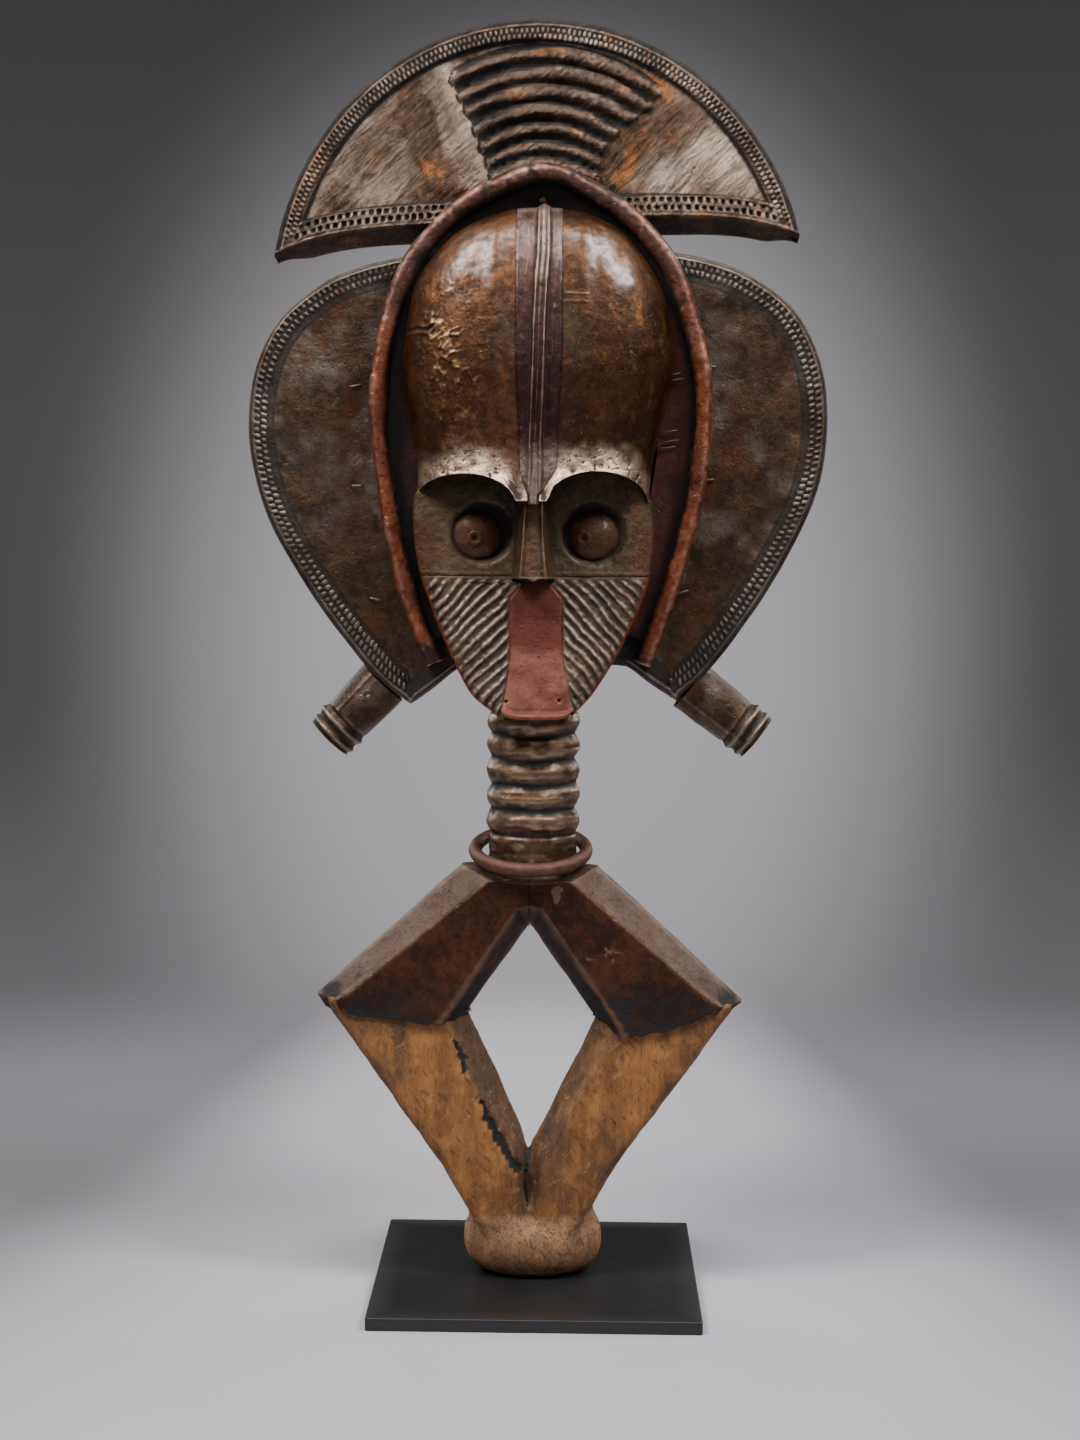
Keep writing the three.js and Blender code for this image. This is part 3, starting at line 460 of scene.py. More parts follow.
class Paint:
    """The nodes of a material or of the surround."""

    def __init__(self, owner):
        self.owner = owner
        owner.use_nodes = True
        self.tree = owner.node_tree
        self.tree.nodes.clear()

    def node(self, kind, settings, inputs, output=0):
        """A node by its type, with its settings set first and then its sockets' values or links."""
        made = self.tree.nodes.new("ShaderNode" + kind)
        for name, value in settings.items():
            setattr(made, name, value)
        for name, value in inputs.items():
            if isinstance(value, Socket):
                self.tree.links.new(value.output, made.inputs[name])
            else:
                made.inputs[name].default_value = value
        return Socket(self, made.outputs[output]) if made.outputs else None

    def ground(self, stretch=(1, 1, 1), lean=0):
        """Places on the figure in millimetres, leaned over sideways by so many degrees and stretched."""
        here = self.node("TexCoord", {}, {}, "Object")
        turn = {"Vector": here, "Rotation": (0, math.radians(lean), 0)}
        turned = self.node("Mapping", {"vector_type": "POINT"}, turn)
        scale = tuple(s / MM for s in stretch)
        return self.node("VectorMath", {"operation": "MULTIPLY"}, {0: turned, 1: scale})

    def noise(self, size, detail, rough, stretch=(1, 1, 1), lean=0, twist=0):
        """Cloudy noise with lumps of about a size in millimetres."""
        values = {
            "Vector": self.ground(stretch, lean),
            "Scale": 1 / size,
            "Detail": detail,
            "Roughness": rough,
            "Distortion": twist,
        }
        return self.node("TexNoise", {}, values)

    def pits(self, size, stretch=(1, 1, 1)):
        """Distance to the nearest of some scattered pits, as a share of their spacing."""
        values = {"Vector": self.ground(stretch), "Scale": 1 / size}
        return self.node("TexVoronoi", {"feature": "F1"}, values)

    def part(self, vector, name):
        """One coordinate of a vector."""
        return self.node("SeparateXYZ", {}, {"Vector": vector}, name)

    def mark(self, name):
        """A number that the mesh holds for each point."""
        return self.node("Attribute", {"attribute_name": name}, {}, "Fac")

    def blend(self, share, first, second):
        """A colour between two colours."""
        ends = [(*c, 1) if isinstance(c, tuple) else c for c in (first, second)]
        settings = {"data_type": "RGBA", "clamp_factor": True}
        return self.node("Mix", settings, {0: share, 6: ends[0], 7: ends[1]}, 2)

    def finish(self, colour, roughness, height, bump, **others):
        """Joins everything to the shader. The bump is the height's full swing in millimetres."""
        normal = self.node("Bump", {}, {"Strength": 1.0, "Distance": bump * MM, "Height": height})
        values = {"Base Color": colour, "Roughness": roughness, "Normal": normal}
        values.update({name.replace("_", " "): value for name, value in others.items()})
        shader = self.node("BsdfPrincipled", {}, values)
        self.node("OutputMaterial", {}, {"Surface": shader})
        return self.owner


def scratched(paint, clouds, mottle):
    """Fine scratches that run two ways, in patches."""
    down = paint.noise(1.0, 3, 0.5, (1.0, 0.2, 0.035), -38)
    up = paint.noise(1.3, 2, 0.5, (0.9, 0.2, 0.05), 33)
    return down.rise(0.66, 0.8) * clouds.rise(0.42, 0.6) + up.rise(0.72, 0.84) * mottle.rise(0.5, 0.6)


def patinated(name, body, patch, toned, light, dark, shine, metallic, embers=None, ember_size=17,
              brushed=0, grimy=0.6, blots=0, scratch=0.3, rubbed=0.22, lumps=0.4, coat=0.0):
    """Old sheet metal: two body colours in clouds, a toned zone, bright worn crests, and dirt with painted
    shade in hollows.
    """
    paint = Paint(bpy.data.materials.new(name))
    clouds = paint.noise(26, 5, 0.62, twist=0.6)
    mottle = paint.noise(5.5, 6, 0.68)
    grime = paint.noise(3.1, 6, 0.72, twist=0.4)
    dust = paint.noise(1.6, 5, 0.72)
    specks = paint.pits(3.1).rise(0.3, 0.05)
    scratches = scratched(paint, clouds, mottle)
    worn, deep, tone = (paint.mark(mark) for mark in ("worn", "deep", "tone"))
    height = mottle * lumps + grime * lumps * 0.8 + dust * 0.3 - scratches * 0.12 - specks * 0.14
    colour = paint.blend((clouds * 0.45 + mottle * 0.35 + dust * 0.2).rise(0.43, 0.58), body, patch)
    colour = paint.blend(tone * (mottle * 0.7 + dust * 0.6).rise(0.3, 0.75) * 1.2, colour, toned)
    if embers:
        glow = paint.noise(ember_size, 5, 0.66, (1.0, 1.0, 0.7)).rise(0.53, 0.68)
        colour = paint.blend(glow * (0.25 + grime * 0.9) * (1 - tone * 0.7), colour, embers)
    if brushed:
        strands = paint.noise(4.2, 7, 0.7, (1.0, 0.3, 0.15), -42, 0.3).rise(0.44, 0.62)
        furrows = paint.noise(3.0, 7, 0.7, (1.0, 0.3, 0.17), -48, 0.3).rise(0.5, 0.62)
        sheen = paint.noise(24, 3, 0.5).rise(0.42, 0.6)
        colour = paint.blend(furrows * 0.45, colour, body)
        colour = paint.blend(strands * (0.3 + sheen) * tone * brushed, colour, light)
        height = height + strands * 0.5 - furrows * 0.5
    colour = paint.blend(grime.rise(0.53, 0.66) * grimy, colour, dark)
    colour = paint.blend(dust.rise(0.54, 0.72) * 0.6, colour, dark)
    if blots:
        spots = paint.noise(8, 6, 0.7, (1, 1, 0.7), twist=1.2).rise(0.5, 0.62)
        colour = paint.blend(spots * (1 - tone) * blots, colour, dark)
    polish = worn.rise(0.25, 1.1) * (0.25 + mottle * 0.75) + scratches * scratch
    colour = paint.blend(polish + grime.rise(0.42, 0.3) * rubbed, colour, light)
    # Painted shade with dirt: hollows and soiled places darkened by the deep mark.
    colour = paint.blend(deep.rise(0.05, 0.8) * 0.95, colour, dark)
    colour = paint.blend(specks * mottle.rise(0.45, 0.65) * 0.75, colour, dark)
    roughness = shine + mottle * 0.22 + grime * 0.14 - worn * 0.1 + deep * 0.3
    others = {"Metallic": metallic - deep.rise(0.2, 0.9) * metallic * 0.7, "Coat_Roughness": 0.27}
    if coat:
        others["Coat_Weight"] = (grime.rise(0.6, 0.44) * 0.45 + 0.55) * coat - deep * coat
    return paint.finish(colour, roughness, height, 0.9, **others)


def crest_copper():
    """The crest: brown copper, brushed pale, with orange patches."""
    return patinated(
        "crest_copper",
        body=(0.054, 0.032, 0.020),
        patch=(0.135, 0.082, 0.052),
        toned=(0.290, 0.212, 0.160),
        light=(0.490, 0.398, 0.325),
        dark=(0.010, 0.007, 0.005),
        embers=(0.360, 0.130, 0.040),
        shine=0.26, metallic=0.85, brushed=1.0, grimy=0.25, rubbed=0.05,
    )


def brown_copper():
    """The lobes and pendants: dark brown copper."""
    return patinated(
        "brown_copper",
        body=(0.048, 0.031, 0.019),
        patch=(0.104, 0.061, 0.038),
        toned=(0.215, 0.172, 0.140),
        light=(0.360, 0.300, 0.240),
        dark=(0.008, 0.006, 0.005),
        embers=(0.130, 0.048, 0.020),
        shine=0.27, metallic=0.8, ember_size=15, scratch=0.25, lumps=0.5,
        grimy=0.4,
    )


def rib_copper():
    """The cheeks: brown copper, bright on the ribs and red along the edge."""
    return patinated(
        "rib_copper",
        body=(0.102, 0.070, 0.049),
        patch=(0.190, 0.120, 0.080),
        toned=(0.324, 0.086, 0.032),
        light=(0.460, 0.360, 0.270),
        dark=(0.015, 0.010, 0.008),
        shine=0.3, metallic=0.7, scratch=0.1, grimy=0.4,
    )


def arm_copper():
    """The arms: nearly black red-brown copper with paler bevels."""
    return patinated(
        "arm_copper",
        body=(0.035, 0.014, 0.008),
        patch=(0.105, 0.037, 0.018),
        toned=(0.140, 0.092, 0.068),
        light=(0.260, 0.165, 0.105),
        dark=(0.010, 0.009, 0.009),
        embers=(0.108, 0.035, 0.013),
        shine=0.32, metallic=0.7, scratch=0.08, lumps=0.5, ember_size=12,
        grimy=0.5,
    )


def lacquered_brass(name, body, patch):
    """The forehead: brown lacquer over brass, pale where it's rubbed along the brow."""
    return patinated(
        name,
        body=body,
        patch=patch,
        toned=(0.780, 0.560, 0.400),
        light=(0.600, 0.340, 0.150),
        dark=(0.020, 0.008, 0.003),
        embers=(0.240, 0.088, 0.020),
        shine=0.25, metallic=0.8, scratch=0.1, coat=0.85, lumps=0.3,
        grimy=0.7, ember_size=9, blots=0.55,
    )


def olive_brass():
    """The eyes and nose: dull olive brass."""
    return patinated(
        "olive_brass",
        body=(0.062, 0.042, 0.021),
        patch=(0.125, 0.085, 0.045),
        toned=(0.105, 0.040, 0.020),
        light=(0.340, 0.260, 0.165),
        dark=(0.008, 0.006, 0.004),
        embers=(0.190, 0.068, 0.020),
        shine=0.38, metallic=0.65, scratch=0.1, lumps=0.8, coat=0.2,
        ember_size=11, grimy=0.5,
    )


def neck_brass():
    """The neck: brown lacquer over brass, darker between the ribs."""
    return patinated(
        "neck_brass",
        body=(0.135, 0.052, 0.019),
        patch=(0.200, 0.092, 0.038),
        toned=(0.085, 0.058, 0.036),
        light=(0.440, 0.295, 0.180),
        dark=(0.020, 0.019, 0.016),
        shine=0.24, metallic=0.75, scratch=0.06, coat=0.4,
    )


def red_copper():
    """The rim: red copper, worn and dirty."""
    return patinated(
        "red_copper",
        body=(0.175, 0.042, 0.016),
        patch=(0.350, 0.100, 0.042),
        toned=(0.115, 0.052, 0.042),
        light=(0.600, 0.350, 0.250),
        dark=(0.013, 0.006, 0.005),
        shine=0.3, metallic=0.7, scratch=0.1, lumps=0.6, rubbed=0.35,
        grimy=0.7,
    )


def mouth_copper():
    """The mouth plate: matte red copper."""
    return patinated(
        "mouth_copper",
        body=(0.112, 0.022, 0.011),
        patch=(0.150, 0.034, 0.017),
        toned=(0.262, 0.094, 0.060),
        light=(0.380, 0.140, 0.080),
        dark=(0.022, 0.007, 0.005),
        shine=0.42, metallic=0.45, scratch=0.1, grimy=0.3, rubbed=0.05,
    )


def ring_copper():
    """The neck ring: dull dark copper."""
    return patinated(
        "ring_copper",
        body=(0.062, 0.020, 0.011),
        patch=(0.105, 0.034, 0.019),
        toned=(0.072, 0.043, 0.036),
        light=(0.230, 0.115, 0.075),
        dark=(0.012, 0.007, 0.006),
        shine=0.38, metallic=0.5, grimy=0.9, lumps=0.7, rubbed=0.05,
    )


def band_copper():
    """The band of the forehead: dark copper, pale at its upper end."""
    return patinated(
        "band_copper",
        body=(0.032, 0.010, 0.007),
        patch=(0.072, 0.021, 0.015),
        toned=(0.300, 0.215, 0.175),
        light=(0.480, 0.270, 0.200),
        dark=(0.012, 0.007, 0.006),
        shine=0.26, metallic=0.7, scratch=0.15, coat=0.4,
    )


def dark_lining():
    """The groove's lining: nearly black, dull red beside the face."""
    return patinated(
        "dark_lining",
        body=(0.007, 0.005, 0.004),
        patch=(0.013, 0.007, 0.007),
        toned=(0.085, 0.017, 0.012),
        light=(0.120, 0.080, 0.072),
        dark=(0.004, 0.003, 0.003),
        shine=0.42, metallic=0.3,
    )


def carved_wood():
    """Dry ochre wood: long grain, pores, dark stains with painted shade, and pale rubbed edges with painted
    light on the sides.
    """
    paint = Paint(bpy.data.materials.new("carved_wood"))
    clouds = paint.noise(38, 4, 0.6)
    mottle = paint.noise(7, 5, 0.62)
    fibres = paint.noise(1.5, 4, 0.6, (1, 1, 0.05), twist=0.3)
    rings = paint.noise(7.5, 2, 0.5, (1, 1, 0.12), twist=0.8)
    pores = paint.pits(1.1, (1, 1, 0.11)).rise(0.3, 0.08)
    worn, deep, tone = (paint.mark(mark) for mark in ("worn", "deep", "tone"))
    smudges = paint.noise(3.0, 7, 0.75, (1, 1, 0.3))
    nicks = paint.noise(1.6, 6, 0.72, (1.0, 0.4, 0.25), -47).rise(0.55, 0.68)
    cuts = paint.noise(1.9, 6, 0.72, (1.0, 0.4, 0.25), 40).rise(0.55, 0.68)
    grit = paint.noise(1.2, 5, 0.75).rise(0.48, 0.6)
    brown, ochre = (0.20, 0.076, 0.016), (0.37, 0.150, 0.036)
    colour = paint.blend((clouds * 0.5 + rings * 0.5).rise(0.4, 0.62), brown, ochre)
    colour = paint.blend(fibres.rise(0.45, 0.7) * 0.2, colour, (0.085, 0.034, 0.010))
    colour = paint.blend(mottle.rise(0.48, 0.7) * 0.4, colour, (0.56, 0.270, 0.085))
    colour = paint.blend(smudges.rise(0.5, 0.68) * (0.1 + clouds * 0.6), colour, (0.070, 0.030, 0.012))
    # Stains, together with painted shade in the crotch and on the sides that face inwards.
    colour = paint.blend(tone * (0.15 + smudges * 1.3), colour, (0.030, 0.018, 0.011))
    # Rubbed pale places, together with painted light on the sides and a painted highlight along the foot's
    # ledge.
    colour = paint.blend(worn.rise(0.2, 1.0) * (0.15 + mottle * 0.7), colour, (0.54, 0.31, 0.17))
    colour = paint.blend(grit * worn.rise(0.3, 0.6) * 0.65, colour, (0.110, 0.050, 0.024))
    colour = paint.blend(nicks * (0.25 + smudges * 0.5), colour, (0.60, 0.32, 0.12))
    colour = paint.blend(cuts * (1 - smudges * 0.5) * 0.9, colour, (0.060, 0.028, 0.012))
    colour = paint.blend(pores * 0.4, colour, (0.04, 0.020, 0.010))
    colour = paint.blend(deep.rise(0.1, 0.7), colour, (0.007, 0.005, 0.004))
    roughness = 0.52 + mottle * 0.25 + deep * 0.15
    height = fibres * 0.25 + mottle * 0.4 + smudges * 0.5 - pores * 0.3 + nicks * 0.4 - cuts * 0.5
    return paint.finish(colour, roughness, height, 0.7)


def black_plate():
    """Satin black lacquer with faint dust, and paler edges that are rubbed and partly a painted highlight."""
    paint = Paint(bpy.data.materials.new("black_plate"))
    haze = paint.noise(45, 4, 0.6)
    dust = paint.noise(1.6, 5, 0.7)
    fine = paint.noise(0.5, 2, 0.5)
    worn = paint.mark("worn")
    colour = paint.blend(haze.rise(0.4, 0.7) * 0.5, (0.006, 0.006, 0.0065), (0.013, 0.013, 0.0135))
    # The worn mark lightens the sides and top edge: rubbing, and partly a painted highlight.
    colour = paint.blend(dust.rise(0.56, 0.74) * 0.25 + worn * 0.35, colour, (0.05, 0.048, 0.045))
    roughness = 0.30 + haze * 0.14 + dust * 0.14
    return paint.finish(colour, roughness, fine * 0.4 + dust * 0.3, 0.12)


def plain_floor():
    """A pale floor with painted shade where the light falls off towards its far corners, fading out into the
    backdrop.
    """
    paint = Paint(bpy.data.materials.new("pale_floor"))
    haze = paint.noise(120, 4, 0.6)
    here = paint.ground()
    sideways = paint.part(here, "X") / 300
    backwards = (paint.part(here, "Y") + 250) / 350
    # Painted shade: the floor darkens to the sides and back, as if the lamps' light fell off there.
    painted_falloff_shade = (sideways * sideways * (backwards + 0.25)).rise(0.0, 1.1)
    colour = paint.blend(haze, (0.45, 0.425, 0.47), (0.51, 0.485, 0.53))
    colour = paint.blend(painted_falloff_shade * 0.85, colour, (0.115, 0.11, 0.12))
    away = paint.node("VectorMath", {"operation": "LENGTH"}, {0: here}, "Value")
    fade = away.rise(0.98 * FLOOR_REACH / MM, 0.48 * FLOOR_REACH / MM)
    return paint.finish(colour, 0.75 + haze * 0.05, haze, 0.05, Alpha=fade)


# Boards of the head


def in_crest(u, w):
    """From the crest's own upright frame to the head's, by its slight tilt."""
    c, s = math.cos(CREST_TILT), math.sin(CREST_TILT)
    return u * c - w * s, CREST_CENTRE + u * s + w * c


def crest_edge(u):
    return CREST_ARCH - CREST_ARCH_DROP * np.abs(u / CREST_HALF_WIDTH) ** 5


def lower_share(u, w):
    """Where the line from the crest's centre to its outer arc crosses the lower edge."""
    low = np.zeros_like(u)
    high = np.ones_like(u)
    for _ in range(24):
        middle = (low + high) / 2
        under = middle * w < crest_edge(middle * u)
        low = np.where(under, middle, low)
        high = np.where(under, high, middle)
    return low


def folded_edge(count):
    """The fold over a board's edge: steps outwards and depths, from the front round to the hem's end."""
    path = [(0, -3.4), (0.3, -2), (0.4, 0), (0.35, 2), (0.1, 4), (-0.6, 5.6), (-2, 6.3), (-5, 6.5)]
    path += [(-WRAP, 6.5), (-WRAP - 0.4, 6.2), (-WRAP - 0.5, 5.4)]
    return smooth_line(path, count)


def front_corner(distance, radius):
    """How far a board's front has fallen back near its edge."""
    share = 1 - np.clip(distance / radius, 0, 1)
    return radius * (1 - np.sqrt(1 - share * share))


def dashes(distance, along, pitch, middles, half):
    """Rows of short raised strokes punched by hand across a border, each row half a step on."""
    height = 0
    along = along + 0 * distance
    for row, middle in enumerate(middles):
        spot = space(along, 40 * row, 0)
        steps = (along + 0.5 * bumps(spot, 7, 151)) / pitch + 0.5 * row
        beat = 0.5 + 0.5 * np.cos(2 * math.pi * steps)
        length = half + 0.35 * bumps(spot, 2.9, 152)
        across = step(length + 0.5, length - 0.7, np.abs(distance - middle - 0.3 * bumps(spot, 11, 153)))
        force = 0.72 + 0.4 * bumps(spot, 3.1, 154)
        height = height + force * across * beat**1.5
    return height


def fan_relief(x, w):
    """Thick curved bars with deep grooves between them: their height, their grooves and their bed."""
    height = np.zeros_like(x)
    bed = np.zeros_like(x)
    bars = np.array(FAN_BARS)[::-1]
    spot = space(x, 0, w)
    left_edge = np.interp(w, bars[:, 1], bars[:, 0]) + 1.2 * bumps(spot, 9, 155)
    right_edge = np.interp(w, bars[:, 4], bars[:, 3]) + 1.2 * bumps(spot, 9, 156)
    inwards = np.minimum(x - left_edge, right_edge - x)
    for left, left_height, top, right, right_height in FAN_BARS:
        bar = np.polyfit([left, 0, right], [left_height, top, right_height], 2)
        off = w - np.polyval(bar, x) + 0.4 * bumps(spot, 11, 157)
        rise = np.clip((off + FAN_HALF) / (2 * FAN_HALF), 0, 1)
        height = np.maximum(height, np.sin(math.pi * rise**1.3) ** 0.62)
        bed = np.maximum(bed, step(6.5, 4, np.abs(off)))
    ends = step(-2.5, 2, inwards)
    depth = step(-1, 7, inwards) * bed
    height = height * bed * ends
    return FAN_RELIEF * height - 1.3 * depth, depth * (1 - height) ** 0.9, bed * ends


def distance_to_segment(x, z, start, end):
    """How far places lie from a straight line between two points."""
    run = np.array(end, float) - np.array(start, float)
    share = np.clip(((x - start[0]) * run[0] + (z - start[1]) * run[1]) / (run @ run), 0, 1)
    return np.hypot(x - start[0] - share * run[0], z - start[1] - share * run[1])


class CrestRays:
    """Lines across the crest, one for each column of its sheet, from the lower edge out to the arc."""

    def __init__(self, count):
        self.angle = np.linspace(math.pi - CREST_TIP, CREST_TIP, count)
        wide, tall = CREST_HALF_WIDTH + BACKED, CREST_RISE + BACKED
        self.outer = np.stack([wide * np.cos(self.angle), tall * np.sin(self.angle)])
        self.inner = self.outer * lower_share(*self.outer)
        self.full = step(0, 16, CREST_REACH - np.abs(self.inner[0]))  # 1, but less near the tips
        self.inner[1] -= BACKED * self.full
        self.chamfer = CREST_CHAMFER * (0.5 + 0.5 * np.sin(self.angle)) * (0.6 + 0.4 * self.full)
        run = self.outer - self.inner
        self.length = np.linalg.norm(run, axis=0)
        self.run = run / self.length

    def spread(self):
        """How far along its line each row of the front lies, close together beside both edges."""
        low = np.minimum(13, 0.42 * self.length)
        high = np.minimum(14.5, 0.42 * self.length)
        share = np.linspace(0, 1, 24)[:, None]
        middle = np.linspace(0, 1, 50)[1:, None]
        top = np.linspace(0, 1, 30)[1:, None]
        span = self.length - low - high
        return np.vstack([low * share, low + span * middle, self.length - high + high * top])

    def under(self):
        """The broad lower edge, from the back round to the front."""
        rises = [9.2, 9.1, 8.4, 1.6, 0.25, 0, -0.02, 0]
        depths = [4.8, 9.4, 10.6, 11, 10.6, 9.4, -2.6, -4.2]
        rows = []
        for rise, y in smooth_line(list(zip(rises, depths)), 28):
            share = 1 if rise > 0.5 else chamfer_share(y)
            w = self.inner[1] - self.chamfer * share + max(rise, 0) * self.full
            x, z = in_crest(self.inner[0], w)
            rows.append(space(x, y * (0.6 + 0.4 * self.full) if y > 0 else y, z))
        return np.array(rows)

    def fold(self):
        """The fold over the arc onto the back, which meets the lower edge at the tips."""
        rows = []
        for out, y in folded_edge(FOLD_ROWS):
            inwards = np.maximum(out, np.minimum(1.2 - self.length, 0)) if out < 0 else out
            u, w = self.outer + self.run * inwards
            x, z = in_crest(u, w - self.chamfer * chamfer_share(y) * (1 - self.full))
            rows.append(space(x, y, z))
        return np.array(rows)


class CrestFront:
    """The crest's front: punched borders along both edges, and the fan between two smooth wings."""

    def __init__(self, rays):
        reach = rays.spread()
        u = rays.inner[0] + rays.run[0] * reach
        w = rays.inner[1] + rays.run[1] * reach
        self.from_outer = rays.length - reach
        self.from_lower = w - crest_edge(u) + BACKED
        self.x, self.z = in_crest(u, w)
        self.w = self.z - CREST_CENTRE
        self.clear = step(9.8, 11.6, self.from_outer) * step(10.2, 11.6, self.from_lower)
        self.punch(rays)
        self.fan, self.grooves, self.bed = fan_relief(self.x, self.w)
        self.from_flare = distance_to_segment(self.x, self.w, (-45, 103), (-27, 58))
        uneven = 1.5 * bumps(space(self.x, 0, self.z), 12, 8)
        self.flare = mound(self.from_flare + uneven, 8) * self.clear
        self.relief = self.total_relief()
        edges = front_corner(self.from_outer, 2.4) + front_corner(self.from_lower, 1.2)
        self.places = space(self.x, -BOARD_FRONT - BACKED + edges - self.relief, self.z)

    def punch(self, rays):
        """Two rows of beads along the arc, and two rows of holes in a raised strip along the lower edge."""
        arc = lengths_along(rays.outer.T)
        tip = np.abs(np.cos(rays.angle)) ** 3
        rows = [5.1 - 1.3 * tip, 8.0 - 1.8 * tip]
        beads = dashes(self.from_outer, arc, 2.5, rows, 1.1 - 0.1 * tip)
        self.border = beads * step(2, 8, self.from_lower)
        inwards = step(6, 10, self.from_outer)
        self.holes = dashes(self.from_lower, self.x, 3.6, [4.5, 8.0], 1.0) * inwards
        self.net = step(2.2, 3.0, self.from_lower) * step(10.6, 9.8, self.from_lower) * inwards

    def total_relief(self):
        relief = 0.95 * self.border + np.where(self.border > 0.2, 0, 0.55 * self.net - 1.5 * self.holes)
        relief = relief + self.fan * self.clear + 1.1 * self.flare * (1 - step(0.1, 0.5, self.fan))
        relief = relief + 0.5 * mound(self.from_outer - 3.0, 0.9) + 0.7 * mound(self.from_lower - 1.4, 1.6)
        fade = np.where(self.from_outer < 10.4, 1.6, 9)
        dish = mound(self.from_outer - 10.4, fade) + 0.6 * mound(self.from_lower - 11, 5)
        return relief - 0.9 * np.minimum(dish, 1) * step(4, 9, self.from_lower) * (1 - self.bed)

    def paleness(self):
        """The wings' pale tone with a painted sheen brightening the right wing and a painted highlight on the
        flare, and painted shade on both sides of the fan.
        """
        beside = self.x - 27.7 - 0.81 * (self.w - 62.6)
        shade = step(26, 6, beside) * (self.x > 20) + 0.9 * mound(self.from_flare - 17, 12) * (self.x < 0)
        # Patchy pale tone, plus painted sheen to the right of the fan and painted shade beside it.
        glow = 0.6 * bumps(self.places, 13, 7) + 0.5 + 0.5 * step(22, 46, beside) - 0.75 * shade
        # The flare's paleness is partly a painted highlight.
        return np.maximum(self.flare * 1.2, glow * self.clear * (1 - self.bed)) + 0.25 * (1 - self.clear)

    def dirt_and_shade(self):
        """Dirt and painted shade in the fan's grooves, the borders and the holes, in a soft ditch inside the
        border, and along the outer edge where the sheet turns over.
        """
        dirt_and_shade = 1.3 * self.grooves * self.clear + 0.45 * (1 - self.clear) * (self.relief < 0.25)
        dirt_and_shade = dirt_and_shade + 0.45 * mound(self.from_outer - 10.2, 3) * (1 - self.bed)
        return dirt_and_shade + 0.9 * self.holes * (self.border < 0.2) + step(2.5, 1.7, self.from_outer)


def chamfer_share(y):
    """How much of the crest's chamfer has been reached at a depth."""
    return np.clip((y + 4.6) / 15, 0, 1)


def hem_dirt_and_shade(fold):
    """Dirt and painted shade on a folded edge, darker at the front where it turns over, less towards the
    back.
    """
    return step(2, -1, fold[..., 1]) * 0.6 + 0.35


def crest_sheet(paint):
    """The crescent's sheet: chamfered lower edge, beaded borders, the fan, and a hem on the back."""
    rays = CrestRays(600)
    front = CrestFront(rays)
    parts = (rays.under(), front.places, rays.fold())
    inside = (0, 0, CREST_CENTRE + 70)
    from_edge = np.minimum(front.from_outer, front.from_lower)
    flat = over(parts, 0.3, 0.3 + 0.7 * step(2, 14, from_edge), 0.3)
    dents = [(0.9, 19, 1), (0.3, 7, 2), (0.1, 2.4, 3)]
    grid = hammered(np.concatenate(parts), inside, dents, share=flat)
    marks = {
        # The tint carries the wings' painted sheen and the painted shade beside the fan.
        "tint": over(parts, 0, front.paleness(), 0),
        "soil_and_shade": over(parts, 0.25, front.dirt_and_shade(), hem_dirt_and_shade(parts[2])),
        "wear": over(parts, 1, 1 - 0.52 * front.bed, 0.35),
    }
    sheet("crest_sheet", grid, inside, HEAD, "brown_copper", paint, reach=2, proud=0.4, **marks)


def tilted(x, z):
    """From a level lobe's places to the head's, by the slight tilt of both lobes."""
    c, s = math.cos(COIFFURE_TILT), math.sin(COIFFURE_TILT)
    return x * c - (z - COIFFURE_PIVOT) * s, COIFFURE_PIVOT + x * s + (z - COIFFURE_PIVOT) * c


